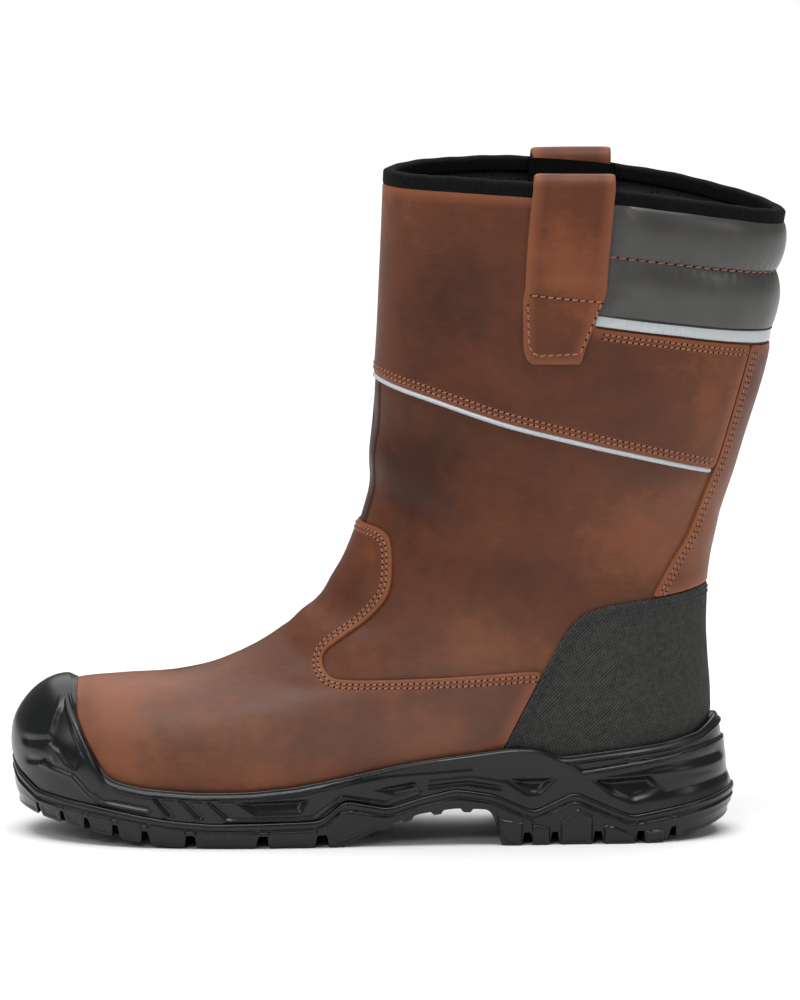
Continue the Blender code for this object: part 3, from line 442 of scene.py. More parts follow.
def deselect():
    """Leaves nothing selected, so an operator acts only on what it is given."""
    bpy.ops.object.select_all(action="DESELECT")


def set_attribute(mesh, key, values):
    """Stores a value at each point of a mesh."""
    layer = mesh.attributes.new(key, "FLOAT", "POINT")
    layer.data.foreach_set("value", np.asarray(values, np.float32))


def add_mesh(name, points, faces, material, attributes=None, smooth=SMOOTH_DEGREES):
    """Object from points in millimetres, with its point attributes."""
    mesh = bpy.data.meshes.new(name)
    mesh.from_pydata(((np.asarray(points) + FRAME_SHIFT) * MM).tolist(), [], faces)
    for key, values in (attributes or {}).items():
        set_attribute(mesh, key, values)
    mesh.materials.append(material)
    mesh.shade_smooth()
    mesh.set_sharp_from_angle(angle=math.radians(smooth))
    piece = bpy.data.objects.new(name, mesh)
    bpy.context.scene.collection.objects.link(piece)
    return piece


def mesh_points(piece):
    """Points of a piece, in millimetres from the origin."""
    points = np.empty(len(piece.data.vertices) * 3)
    piece.data.vertices.foreach_get("co", points)
    return points.reshape(-1, 3) / MM


def place_piece(piece, slot, *nodes):
    """Lets a piece ride on the boot and stand for solids; its slot is not used."""
    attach(piece, BODY)
    if nodes:
        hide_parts(*nodes)


def distance_to(points, targets):
    """Distance from each point to the nearest of the targets, mm."""
    tree = KDTree(len(targets))
    for index, target in enumerate(targets):
        tree.insert(target, index)
    tree.balance()
    return np.array([tree.find(point)[2] for point in points])


def walled_patch(name, patch, seat, wall, material):
    """Closed piece over the last with a cut edge all round, rounded at its rim."""
    loops = border_loops(patch.faces)
    border = np.array([corner for loop in loops for corner in loop])
    height = np.full(patch.level.size, seat + wall)
    height[border] -= EDGE_ROUND * wall
    top = skin(patch.level, patch.turn, height)
    points = [top, skin(patch.level, patch.turn, UNDERSIDE)]
    count = len(top)
    faces = patch.faces + [tuple(corner + count for corner in reversed(face)) for face in patch.faces]
    middle = 2 * count
    for loop in loops:
        points.append(skin(patch.level[loop], patch.turn[loop], seat + EDGE_MIDDLE * wall))
        size = len(loop)
        for index, corner in enumerate(loop):
            following = (index + 1) % size
            here, there = middle + index, middle + following
            faces.append((loop[following], corner, here, there))
            faces.append((there, here, corner + count, loop[following] + count))
        middle += size
    points = np.vstack(points)
    rim = skin(patch.level[border], patch.turn[border], seat + wall)
    seam = np.zeros(len(points))
    seam[:count] = distance_to(top, rim)
    return add_mesh(name, points, faces, material, {"seam": seam})


def settled(points, level, turn, rounds=3):
    """Levels and turns of the last's points nearest to some points, from a first guess."""
    for _ in range(rounds):
        here = bare_last(level, turn)
        up = (bare_last(level + PROBE, turn) - bare_last(level - PROBE, turn)) / (2.0 * PROBE)
        around = (bare_last(level, turn + PROBE) - bare_last(level, turn - PROBE)) / (2.0 * PROBE)
        off = points - here
        a, b, c = (up * up).sum(-1), (up * around).sum(-1), (around * around).sum(-1)
        d, e = (up * off).sum(-1), (around * off).sum(-1)
        spread = np.maximum(a * c - b * b, 1e-9)
        level = np.clip(level + (c * d - b * e) / spread, 0.0, TOP)
        turn = turn + (a * e - b * d) / spread
    return level, turn


def run_lengths(points):
    """Distance along a line of points, from its start."""
    return np.concatenate(([0.0], np.cumsum(np.linalg.norm(np.diff(points, axis=0), axis=1))))


def evenly(points, spacing):
    """Places along a line of points, as shares of its point numbers, at an even spacing."""
    lengths = run_lengths(points)
    count = max(int(lengths[-1] / spacing), 2)
    return np.interp(np.linspace(0.0, lengths[-1], count), lengths, np.arange(len(points)))


def softened(values, rounds=10):
    """Line of values with its small steps smoothed out, ends kept."""
    values = np.array(values, float)
    for _ in range(rounds):
        values[1:-1] = 0.25 * values[:-2] + 0.5 * values[1:-1] + 0.25 * values[2:]
    return values


def per_metre(size_mm):
    """Texture scale on Object coordinates, in metres, for a feature of a size in millimetres."""
    return 1000.0 / size_mm


def new_material(name):
    """Material with its shader."""
    material = bpy.data.materials.new(name)
    material.use_nodes = True
    return material, material.node_tree.nodes["Principled BSDF"]


def fill(material, node, inputs):
    """Fills a node's sockets with values or links."""
    for key, value in inputs.items():
        if isinstance(value, bpy.types.NodeSocket):
            material.node_tree.links.new(value, node.inputs[key])
        else:
            node.inputs[key].default_value = value


def add_node(material, kind, inputs=None, **settings):
    """Adds a node, sets it up and fills its sockets."""
    node = material.node_tree.nodes.new(kind)
    for key, value in settings.items():
        setattr(node, key, value)
    fill(material, node, inputs or {})
    return node


def varied(material, colour, pattern, low, high, start=0.3, end=0.7):
    """Colour that a pattern shades between two shares of itself, and that share."""
    spread = add_node(material, "ShaderNodeMapRange", {
        "Value": pattern, "From Min": start, "From Max": end, "To Min": low, "To Max": high})
    share = spread.outputs["Result"]
    shaded = add_node(material, "ShaderNodeVectorMath", {0: colour[:3], "Scale": share}, operation="SCALE")
    return shaded.outputs["Vector"], share


def oiled_leather(name, colours, sizes):
    """Full-grain pull-up leather: waxed, cloudy brown that turns orange where it is stretched or
    rubbed, with a soft wax sheen and a painted grey sheen where soft highlights lie, fine pores and light
    scuffs."""
    material, shader = new_material(name)
    place = add_node(material, "ShaderNodeTexCoord").outputs["Object"]
    pull, scuffed, seam, tone_and_painted_sheen = (
        add_node(material, "ShaderNodeAttribute", attribute_name=key).outputs["Fac"]
        for key in ("pull", "scuff", "seam", "tone_and_painted_sheen"))
    clouds = add_node(material, "ShaderNodeTexNoise", {
        "Vector": place, "Scale": per_metre(38.0), "Detail": 5.0, "Roughness": 0.55, "Distortion": 0.4})
    mottle = add_node(material, "ShaderNodeTexNoise", {
        "Vector": place, "Scale": per_metre(7.0), "Detail": 6.0, "Roughness": 0.62})
    streaks = add_node(material, "ShaderNodeMapping", {
        "Vector": place, "Rotation": (0.0, 0.5, 0.0), "Scale": (1.0, 1.0, 7.0)})
    scratches = add_node(material, "ShaderNodeTexNoise", {
        "Vector": streaks.outputs["Vector"], "Scale": per_metre(9.0), "Detail": 4.0, "Roughness": 0.7})
    tone = -0.11
    for pattern, weight in ((clouds, 0.54), (mottle, 0.30), (scratches, 0.12)):
        tone = add_node(material, "ShaderNodeMath", {
            0: pattern.outputs["Fac"], 1: weight, 2: tone}, operation="MULTIPLY_ADD").outputs[0]
    tone = add_node(material, "ShaderNodeMath", {0: tone, 1: pull}, operation="ADD").outputs[0]
    # Hair-fine scuffs, drawn about three times coarser than real so that they show
    scratch_share = add_node(material, "ShaderNodeMapRange", {
        "Value": scratches.outputs["Fac"], "From Min": 0.60, "From Max": 0.80, "To Max": 0.6})
    scuffs = add_node(material, "ShaderNodeMath", {
        0: scratch_share.outputs["Result"], 1: scuffed}, operation="MULTIPLY")
    rub = add_node(material, "ShaderNodeMapRange", {
        "Value": seam, "From Min": 0.8, "From Max": 5.6, "To Min": 0.5, "To Max": 0.0})
    middling, pulled = (
        add_node(material, "ShaderNodeMapRange", {"Value": tone, "From Min": low, "From Max": high})
        for low, high in ((0.12, 0.60), (0.46, 0.98)))
    # Layers below: the grey haze is painted sheen where soft highlights lie, and the darker tone includes
    # painted shade in the loops' fold crease and on the front strip
    colour = colours.hide_dark
    for share, layer in (
            (middling.outputs["Result"], colours.hide), (pulled.outputs["Result"], colours.hide_light),
            (scuffs.outputs[0], colours.hide_edge), (tone_and_painted_sheen, colours.hide_painted_sheen),
            (rub.outputs["Result"], colours.hide_edge)):
        colour = add_node(material, "ShaderNodeMix", {
            "Factor": share, "A": colour, "B": layer}, data_type="RGBA").outputs["Result"]
    grain = add_node(material, "ShaderNodeTexVoronoi", {
        "Vector": place, "Scale": per_metre(sizes.grain), "Randomness": 1.0}, feature="SMOOTH_F1")
    pores = add_node(material, "ShaderNodeTexNoise", {
        "Vector": place, "Scale": per_metre(0.8 * sizes.grain), "Detail": 3.0, "Roughness": 0.6})
    ripple = add_node(material, "ShaderNodeTexNoise", {
        "Vector": place, "Scale": per_metre(11.0), "Detail": 3.0, "Roughness": 0.5})
    bump = add_node(material, "ShaderNodeBump", {
        "Height": ripple.outputs["Fac"], "Strength": 0.30, "Distance": 1.2 * MM})
    for height, strength in ((grain.outputs["Distance"], 0.10), (pores.outputs["Fac"], 0.18)):
        bump = add_node(material, "ShaderNodeBump", {
            "Height": height, "Strength": strength, "Distance": 0.3 * MM, "Normal": bump.outputs["Normal"]})
    sheen = add_node(material, "ShaderNodeMapRange", {
        "Value": mottle.outputs["Fac"], "From Min": 0.3, "From Max": 0.7, "To Min": 0.42, "To Max": 0.56})
    fill(material, shader, {
        "Base Color": colour, "Roughness": sheen.outputs["Result"], "IOR": 1.45, "Specular IOR Level": 0.25,
        "Coat Weight": 0.04, "Coat Roughness": 0.36, "Normal": bump.outputs["Normal"]})
    return material


def moulded_rubber(name, colour, grit_mm=0.9):
    """Moulded polyurethane and rubber: near-black with the satin skin of an eroded steel mould."""
    material, shader = new_material(name)
    place = add_node(material, "ShaderNodeTexCoord").outputs["Object"]
    grit = add_node(material, "ShaderNodeTexNoise", {
        "Vector": place, "Scale": per_metre(grit_mm), "Detail": 2.0, "Roughness": 0.6})
    tone_and_painted_sheen = add_node(material, "ShaderNodeTexNoise", {
        "Vector": place, "Scale": per_metre(26.0), "Detail": 4.0, "Roughness": 0.6})
    bump = add_node(material, "ShaderNodeBump", {
        "Height": grit.outputs["Fac"], "Strength": 0.14, "Distance": 0.2 * MM})
    gloss = add_node(material, "ShaderNodeMapRange", {
        "Value": tone_and_painted_sheen.outputs["Fac"], "From Min": 0.3, "From Max": 0.7, "To Min": 0.25, "To Max": 0.32})
    fill(material, shader, {
        "Base Color": varied(material, colour, tone_and_painted_sheen.outputs["Fac"], 0.8, 1.25)[0], "IOR": 1.5,
        "Roughness": gloss.outputs["Result"], "Specular IOR Level": 0.40, "Normal": bump.outputs["Normal"]})
    return material


def woven_fabric(name, colour, spacing_mm, gloss=0.25):
    """Coarse twill of textured nylon: raised threads in slanting lines, quite matt, with painted highlight on
    the raised threads and painted shade between them. The threads are drawn about twice as coarse as real, so
    that they show."""
    material, shader = new_material(name)
    around = add_node(material, "ShaderNodeAttribute", attribute_name="around").outputs["Fac"]
    rise = add_node(material, "ShaderNodeAttribute", attribute_name="rise").outputs["Fac"]
    turns = 2.0 * math.pi / spacing_mm
    ridge_angle = add_node(material, "ShaderNodeMath", {0: around, 1: turns}, operation="MULTIPLY").outputs[0]
    climb = add_node(material, "ShaderNodeMath", {0: rise, 1: 0.75 * turns}, operation="MULTIPLY")
    float_angle = add_node(material, "ShaderNodeMath", {
        0: ridge_angle, 1: 0.5, 2: climb.outputs[0]}, operation="MULTIPLY_ADD").outputs[0]
    ridge, floats = (
        add_node(material, "ShaderNodeMath", {0: angle}, operation="SINE").outputs[0]
        for angle in (ridge_angle, float_angle))
    broken = add_node(material, "ShaderNodeMath", {0: floats, 1: 0.48, 2: 0.52}, operation="MULTIPLY_ADD")
    cross = add_node(material, "ShaderNodeMath", {0: ridge, 1: broken.outputs[0]}, operation="MULTIPLY")
    slub = add_node(material, "ShaderNodeTexNoise", {
        "Vector": add_node(material, "ShaderNodeTexCoord").outputs["Object"], "Scale": per_metre(2.4),
        "Detail": 4.0, "Roughness": 0.65})
    height = add_node(material, "ShaderNodeMath", {
        0: cross.outputs[0], 1: 0.5, 2: slub.outputs["Fac"]}, operation="MULTIPLY_ADD").outputs[0]
    bump = add_node(material, "ShaderNodeBump", {"Height": height, "Strength": 0.8, "Distance": 0.4 * MM})
    # Painted highlight and shade: the colour follows the weave's height, lighter on raised threads, darker
    # between them
    fill(material, shader, {
        "Base Color": varied(material, colour, height, 0.05, 4.0, 0.0, 1.0)[0], "Roughness": 0.8, "IOR": 1.5,
        "Specular IOR Level": gloss, "Normal": bump.outputs["Normal"]})
    return material


def coated_cover(name, colour):
    """Coated knit over foam: dark grey, soft satin, with a fine leathery emboss."""
    material, shader = new_material(name)
    place = add_node(material, "ShaderNodeTexCoord").outputs["Object"]
    emboss = add_node(material, "ShaderNodeTexVoronoi", {
        "Vector": place, "Scale": per_metre(1.3), "Randomness": 1.0}, feature="SMOOTH_F1")
    rumple = add_node(material, "ShaderNodeTexNoise", {
        "Vector": place, "Scale": per_metre(14.0), "Detail": 3.0})
    soft = add_node(material, "ShaderNodeBump", {
        "Height": rumple.outputs["Fac"], "Strength": 0.25, "Distance": 1.5 * MM})
    fine = add_node(material, "ShaderNodeBump", {
        "Height": emboss.outputs["Distance"], "Strength": 0.12, "Distance": 0.3 * MM,
        "Normal": soft.outputs["Normal"]})
    fill(material, shader, {
        "Base Color": varied(material, colour, rumple.outputs["Fac"], 0.85, 1.15)[0], "Roughness": 0.34,
        "IOR": 1.48, "Normal": fine.outputs["Normal"]})
    return material


def reflective_tape(name, colour):
    """Glass-bead tape: pale silver grey with a fine beaded skin."""
    material, shader = new_material(name)
    place = add_node(material, "ShaderNodeTexCoord").outputs["Object"]
    beads = add_node(material, "ShaderNodeTexVoronoi", {
        "Vector": place, "Scale": per_metre(0.7), "Randomness": 0.4}).outputs["Distance"]
    bump = add_node(material, "ShaderNodeBump", {"Height": beads, "Strength": 0.2, "Distance": 0.2 * MM})
    fill(material, shader, {
        "Base Color": varied(material, colour, beads, 1.05, 0.85, 0.0, 0.7)[0], "Roughness": 0.38, "IOR": 1.5,
        "Normal": bump.outputs["Normal"]})
    return material


def sewing_thread(name, colour):
    """Bonded polyester thread: twisted strands with a slight gloss."""
    material, shader = new_material(name)
    place = add_node(material, "ShaderNodeTexCoord").outputs["Object"]
    strands = add_node(material, "ShaderNodeTexNoise", {
        "Vector": place, "Scale": per_metre(0.8), "Detail": 2.0}).outputs["Fac"]
    bump = add_node(material, "ShaderNodeBump", {"Height": strands, "Strength": 0.3, "Distance": 0.2 * MM})
    fill(material, shader, {
        "Base Color": varied(material, colour, strands, 0.7, 1.25)[0], "Roughness": 0.5,
        "Normal": bump.outputs["Normal"]})
    return material


def air_mesh(name, colour, cell_mm=3.0):
    """Spacer-knit lining: black, matt, with rows of small round cells."""
    material, shader = new_material(name)
    place = add_node(material, "ShaderNodeTexCoord").outputs["Object"]
    cells = add_node(material, "ShaderNodeTexVoronoi", {
        "Vector": place, "Scale": per_metre(cell_mm), "Randomness": 0.15})
    shaded, hole = varied(material, colour, cells.outputs["Distance"], 0.25, 1.3, 0.15, 0.42)
    bump = add_node(material, "ShaderNodeBump", {"Height": hole, "Strength": 0.8, "Distance": 0.8 * MM})
    fill(material, shader, {
        "Base Color": shaded, "Roughness": 0.85, "Sheen Weight": 0.2, "Normal": bump.outputs["Normal"]})
    return material


def needled_felt(name, colour):
    """Needle-punched felt: matt black fibres with a soft, uneven nap."""
    material, shader = new_material(name)
    place = add_node(material, "ShaderNodeTexCoord").outputs["Object"]
    fibre = add_node(material, "ShaderNodeTexNoise", {
        "Vector": place, "Scale": per_metre(1.2), "Detail": 5.0, "Roughness": 0.7, "Distortion": 1.5,
    }).outputs["Fac"]
    bump = add_node(material, "ShaderNodeBump", {"Height": fibre, "Strength": 0.5, "Distance": 0.5 * MM})
    fill(material, shader, {
        "Base Color": varied(material, colour, fibre, 0.6, 1.6)[0], "Roughness": 0.95, "Sheen Weight": 0.2,
        "Normal": bump.outputs["Normal"]})
    return material


# Side views of the edges of what is sewn on the upper, mm
CUP_RIM_LINE = [
    Point(150.0, 52.0), Point(130.0, 50.6), Point(123.0, 45.4), Point(110.0, 42.6), Point(72.0, 38.0),
    Point(66.0, 37.8), Point(57.0, 42.2), Point(44.0, 42.2), Point(15.0, 38.5), Point(0.0, 36.0),
    Point(-30.0, 29.5), Point(-45.0, 26.6), Point(-64.0, 24.7), Point(-85.0, 24.3), Point(-108.0, 25.6),
    Point(-118.0, 27.4), Point(-125.3, 31.0), Point(-128.5, 36.6), Point(-132.0, 43.2),
    Point(-135.8, 52.0), Point(-137.3, 59.8), Point(-137.0, 67.0), Point(-137.0, 90.0),
]
VAMP_EDGE = [
    Point(-40.0, 141.0), Point(-19.5, 134.6), Point(-8.5, 132.6), Point(-4.0, 127.5), Point(-3.6, 113.5),
    Point(-6.0, 104.5), Point(-13.0, 97.0), Point(-25.0, 87.2), Point(-31.8, 81.8), Point(-33.2, 77.4),
    Point(-31.0, 73.0), Point(-26.0, 70.9), Point(-7.0, 71.0), Point(28.0, 72.6), Point(58.5, 74.4),
]
COUNTER_EDGE = [
    Point(31.0, 16.0), Point(45.0, 43.9), Point(62.4, 77.4), Point(71.5, 92.6), Point(76.5, 97.6),
    Point(83.0, 100.4), Point(93.0, 102.4), Point(119.4, 105.4), Point(131.0, 107.4), Point(150.0, 110.0),
]
BACK_STRIP_EDGE = [
    Point(147.5, 209.5), Point(141.9, 189.4), Point(134.7, 164.7), Point(130.0, 153.0),
    Point(123.6, 135.0), Point(110.5, 112.0), Point(106.5, 104.8),
]
PANEL_EDGE = [
    Point(-25.0, 203.0), Point(-11.0, 197.4), Point(-1.3, 194.4), Point(16.0, 189.8), Point(45.5, 180.8),
    Point(75.0, 173.2), Point(104.0, 166.2), Point(130.6, 159.0),
]
PAD_LOW = [Point(80.0, 228.4), Point(117.0, 223.0), Point(170.0, 214.4)]
BAND_LOW = [Point(80.0, 222.4), Point(117.0, 217.0), Point(170.0, 207.6)]
SEAM_GAP = 0.6
TUCK = 3.0
BEHIND = 190.0
PANEL_NOTCH_X = 82.0
BINDING_DROP = 4.2
COUNTER_FOOT_X, COUNTER_FOOT_Z = 42.0, 38.2
VAMP_FOOT_X, VAMP_TAIL_Z = 38.0, 74.0
STRIP_FOOT_X, STRIP_FOOT_Z, STRIP_TOP_X, STRIP_TOP_Z = 108.0, 114.0, 148.0, 203.5
PANEL_TAIL_Z = 159.0
PANEL_TOP_X = (147.0, 117.0, PANEL_NOTCH_X)
SHOWN_REACH = 0.8
HEEL_ROUND_X, HEEL_RADIUS = 92.0, 38.0
FAR_FROM_SEAMS = 50.0
LINING_GAP = 0.1

# Where the leather is pulled up lighter (above 0) or darker (below 0), scuffed, and given a painted
# sheen where soft highlights lie, in side view; the darker clouds include painted shade in the loops' fold
# crease
Cloud = namedtuple("Cloud", "x z reach_x reach_z amount")
PULL_AND_SHADE_CLOUDS = [
    Cloud(-126.0, 48.0, 24.0, 32.0, 0.26), Cloud(-60.0, 30.0, 70.0, 9.0, 0.12),
    Cloud(-112.0, 64.0, 30.0, 7.0, 0.12), Cloud(-66.0, 52.0, 54.0, 24.0, 0.10),
    Cloud(12.0, 46.0, 36.0, 14.0, 0.14), Cloud(-36.0, 96.0, 18.0, 16.0, 0.08),
    Cloud(0.0, 276.0, 22.0, 18.0, 0.14), Cloud(-10.0, 240.0, 8.0, 50.0, 0.08),
    Cloud(-14.0, 124.0, 12.0, 20.0, 0.12), Cloud(120.0, 190.0, 34.0, 16.0, 0.04),
    Cloud(138.0, 150.0, 22.0, 60.0, 0.22), Cloud(102.0, 128.0, 32.0, 24.0, 0.22),
    Cloud(36.0, 82.0, 36.0, 22.0, 0.20), Cloud(70.0, 254.0, 18.0, 34.0, 0.20),
    Cloud(50.0, 142.0, 26.0, 20.0, 0.06), Cloud(24.0, 226.0, 26.0, 24.0, -0.14),
    Cloud(6.0, 160.0, 22.0, 32.0, -0.28), Cloud(-22.0, 108.0, 8.0, 12.0, -0.12),
    Cloud(40.0, 116.0, 26.0, 10.0, -0.06), Cloud(88.0, 164.0, 30.0, 7.0, -0.06),
    # The second cloud on the next line is painted shade: a dark line along the pull loops' fold crease below
    # the binding
    Cloud(70.0, 242.0, 14.0, 3.0, 0.16), Cloud(72.0, 278.5, 20.0, 1.4, -0.30),
]
SCUFF_CLOUDS = [
    Cloud(-78.0, 70.0, 24.0, 10.0, 0.9), Cloud(-48.0, 80.0, 12.0, 10.0, 0.5),
    Cloud(-120.0, 40.0, 10.0, 10.0, 0.5), Cloud(34.0, 214.0, 10.0, 10.0, 0.6),
    Cloud(90.0, 118.0, 14.0, 12.0, 0.7), Cloud(12.0, 262.0, 16.0, 14.0, 0.4),
    Cloud(70.0, 140.0, 20.0, 10.0, 0.35), Cloud(20.0, 52.0, 30.0, 8.0, 0.4),
]
# Painted sheen: where the grey haze of soft highlights is mixed into the leather's colour, in side view
PAINTED_SHEEN_CLOUDS = [
    Cloud(10.0, 50.0, 60.0, 24.0, 0.15), Cloud(-70.0, 50.0, 50.0, 20.0, 0.13),
    Cloud(30.0, 84.0, 40.0, 22.0, 0.10), Cloud(-126.0, 48.0, 24.0, 30.0, 0.08),
    Cloud(120.0, 140.0, 40.0, 40.0, 0.08),
]

# What one operator leaves for the next: the sewn edges and the pieces' materials
SEWN = {}
MATERIALS = {}


def clouded(points, clouds):
    """Amount that listed clouds give each point, by its place in side view."""
    x, z = points[:, 0], points[:, 2]
    amount = np.zeros(len(points))
    for cloud in clouds:
        off = ((x - cloud.x) / cloud.reach_x) ** 2 + ((z - cloud.z) / cloud.reach_z) ** 2
        amount += cloud.amount * np.exp(-off)
    return amount


def shade_leather(piece, painted_shade=0.0):
    """Gives a leather piece the attributes that its material reads, less an amount that darkens it all over
    as painted shade.
    """
    points = mesh_points(piece) - FRAME_SHIFT
    for key, clouds in (("pull", PULL_AND_SHADE_CLOUDS), ("scuff", SCUFF_CLOUDS), ("tone_and_painted_sheen", PAINTED_SHEEN_CLOUDS)):
        set_attribute(piece.data, key, clouded(points, clouds) - painted_shade)
    if "seam" not in piece.data.attributes:
        set_attribute(piece.data, "seam", np.full(len(points), FAR_FROM_SEAMS))


def rim_line(drop, count=65):
    """Side view of the collar's rim, front to back, lowered by a drop."""
    rim = bare_last(TOP, np.linspace(0.0, np.pi, count))
    return np.stack((rim[:, 0], rim[:, 2] - drop), axis=-1)


def above(line, x):
    """Point of a side-view line at a place along it."""
    return Point(x, float(along(line, x)))


def overlay_outlines():
    """Side-view outlines of the vamp, counter, back strip and cuff panel."""
    counter_edge = rounded(COUNTER_EDGE)
    strip_edge = rounded(BACK_STRIP_EDGE)
    tuck = moved(CUP_RIM_LINE, -0.5 * TUCK, -TUCK)
    front = counter_edge[(counter_edge[:, 1] > COUNTER_FOOT_Z) & (counter_edge[:, 1] < VAMP_TAIL_Z)]
    vamp = np.vstack((
        rounded(VAMP_EDGE), moved(front[::-1], -SEAM_GAP, 0.0), tuck[tuck[:, 0] < VAMP_FOOT_X],
        [(tuck[-1, 0], VAMP_EDGE[0].z)]))
    counter = counter_edge[counter_edge[:, 1] > COUNTER_FOOT_Z]
    counter = np.vstack((
        counter, [(BEHIND, counter[-1, 1]), (BEHIND, tuck[0, 1])], tuck[tuck[:, 0] > COUNTER_FOOT_X]))
    band_seam = moved(BAND_LOW, 0.0, -SEAM_GAP)
    strip = np.vstack((
        strip_edge, moved(counter_edge[counter_edge[:, 0] > STRIP_FOOT_X], 0.0, SEAM_GAP),
        [(BEHIND, STRIP_FOOT_Z), (BEHIND, STRIP_TOP_Z)],
        [above(band_seam, band_seam[-1, 0]), above(band_seam, STRIP_TOP_X)]))
    strip_front = moved(strip_edge[strip_edge[:, 1] > PANEL_TAIL_Z], -SEAM_GAP, 0.0)
    collar_seam = rim_line(BINDING_DROP + SEAM_GAP)
    panel = np.vstack((
        rounded(PANEL_EDGE), strip_front[::-1], [above(band_seam, x) for x in PANEL_TOP_X],
        [above(collar_seam, PANEL_NOTCH_X)], collar_seam[collar_seam[:, 0] < PANEL_NOTCH_X][::-1],
        [(PANEL_EDGE[0].x, collar_seam[0, 1])]))
    return {"vamp": vamp, "heel_counter": counter, "back_strip": strip, "shaft_panel": panel}


def material_for(key, make, *values):
    """Material of one finish, made once."""
    if key not in MATERIALS:
        MATERIALS[key] = make(key, *values)
    return MATERIALS[key]


def leather():
    """Leather of every piece of the upper."""
    scene = bpy.context.scene
    return material_for("oiled_pull_up_leather", oiled_leather, scene.boot_colours, scene.boot_sizes)


class BOOT_OT_overlays(bpy.types.Operator):
    """Vamp, cuff panel, back strip and heel counter, cut from the last with their own edges"""

    bl_idname = "boot.overlays"
    bl_label = "Overlays"

    def execute(self, context):
        sizes = context.scene.boot_sizes
        colours = context.scene.boot_colours
        outlines = overlay_outlines()
        from_back = np.linspace(-np.pi, np.pi, 361)
        grids = {
            "vamp": (np.linspace(0.2, 10.8, 165), from_back),
            "shaft_panel": (np.linspace(10.0, TOP, 105), from_back),
            "back_strip": (np.linspace(7.4, 13.0, 105), np.linspace(np.pi - 1.25, np.pi + 1.25, 121)),
            "heel_counter": (np.linspace(0.2, 9.6, 135), np.linspace(np.pi - 1.5, np.pi + 1.5, 171)),
        }
        for name, (levels, turns) in grids.items():
            patch = clipped_patch(levels, turns, outlines[name])
            SEWN[name] = patch
            if name == "heel_counter":
                weave = material_for("abrasion_fabric", woven_fabric, colours.fabric, sizes.weave)
                piece = walled_patch(name, patch, sizes.seat, sizes.overlay, weave)
                weave_places(piece)
                place_piece(piece, "abrasion_fabric", name)
            else:
                piece = walled_patch(name, patch, sizes.seat, sizes.overlay, leather())
                shade_leather(piece)
                place_piece(piece, "leather", name)
        return {"FINISHED"}


def weave_places(piece):
    """Attributes that lay a weave along the piece: distance around the boot and height, mm."""
    x, y, z = mesh_points(piece).T
    heading = np.arctan2(y, np.maximum(x - HEEL_ROUND_X, -60.0) + 0.001)
    ahead = np.sign(y) * (0.5 * np.pi * HEEL_RADIUS + HEEL_ROUND_X - x)
    around = np.where(x > HEEL_ROUND_X, HEEL_RADIUS * heading, ahead)
    lean = math.sqrt(0.5)
    set_attribute(piece.data, "around", lean * (z - around))
    set_attribute(piece.data, "rise", lean * (around + z))


def closed_turns(count):
    """Even turns all round the boot."""
    return np.linspace(0.0, 2.0 * np.pi, count, endpoint=False)


def ring_faces(rings, count, tube):
    """Faces between loops of points, each loop closed."""
    index = np.arange(rings * count).reshape(rings, count)
    low = index if tube else index[:-1]
    high = np.roll(index, -1, axis=0) if tube else index[1:]
    quads = np.stack((low, np.roll(low, -1, axis=1), np.roll(high, -1, axis=1), high), axis=-1)
    return [tuple(row) for row in quads.reshape(-1, 4).tolist()]


class BOOT_OT_upper(bpy.types.Operator):
    """Leather wall of the boot and the mesh lining inside it"""

    bl_idname = "boot.upper"
    bl_label = "Upper"

    def execute(self, context):
        sizes = context.scene.boot_sizes
        colours = context.scene.boot_colours
        leather_wall = 0.5 * sizes.wall
        wall = self.shell("upper", 360, 160, 20, 0.0, -leather_wall, leather())
        shade_leather(wall)
        place_piece(wall, "leather", "upper")
        mesh = material_for("spacer_mesh_lining", air_mesh, colours.lining)
        lining = self.shell("lining", 200, 20, 70, -leather_wall - LINING_GAP, -sizes.wall, mesh)
        place_piece(lining, "insole_felt")
        return {"FINISHED"}

    def shell(self, name, columns, out_rows, in_rows, out, within, material):
        """Closed wall between two distances from the last."""
        turns = closed_turns(columns)
        outer = skin(np.linspace(0.0, TOP, out_rows)[:, None], turns, out)
        inner = skin(np.linspace(TOP, 0.0, in_rows)[:, None], turns, within)
        points = np.vstack((outer.reshape(-1, 3), inner.reshape(-1, 3)))
        return add_mesh(name, points, ring_faces(out_rows + in_rows, columns, tube=True), material)


# Padded collar, tapes and pull loops, mm
PAD_FRONT_X, PAD_LEVEL = 82.8, 13.5
PAD_SEAT = 0.5
PAD_EDGE, PAD_ROLL, PAD_START = 0.9, 2.9, 10.0
SEAM_LINE, SEAM_LINE_RISE = 1.1, 0.55
FRONT_WELT_WIDE, FRONT_WELT_RISE, FRONT_WELT_LOW, FRONT_WELT_HIGH = 10.5, 0.5, 128.0, 196.0
PAD_STITCH_PITCH, PAD_PUCKER, PAD_PUCKER_REACH = 4.2, 0.12, 0.07
PAD_ROWS, PAD_COLUMNS = 57, 301
PIPING_DROP, PIPING_RISE = 2.4, 1.5
PIPING_END_X, PIPING_END_Z = 130.0, 158.0
BAND_WALL = 0.9
TAPE_RIB, TAPE_GLOSS, TAPE_STAND = 1.3, 0.1, 1.55
Strap = namedtuple("Strap", "height fore_x back_x")
STRAP_OUTSIDE = [
    Strap(206.5, 55.4, 75.2), Strap(208.2, 53.4, 76.4), Strap(212.5, 52.0, 77.5), Strap(232.0, 51.8, 84.6),
    Strap(236.0, 52.2, 86.2), Strap(239.0, 52.9, 86.6), Strap(250.0, 53.4, 87.2), Strap(265.0, 54.6, 88.6),
    Strap(275.5, 55.6, 89.6),
]
STRAP_INSIDE = [Strap(274.0, 56.0, 89.8), Strap(250.0, 56.0, 88.5), Strap(232.0, 56.0, 88.0)]
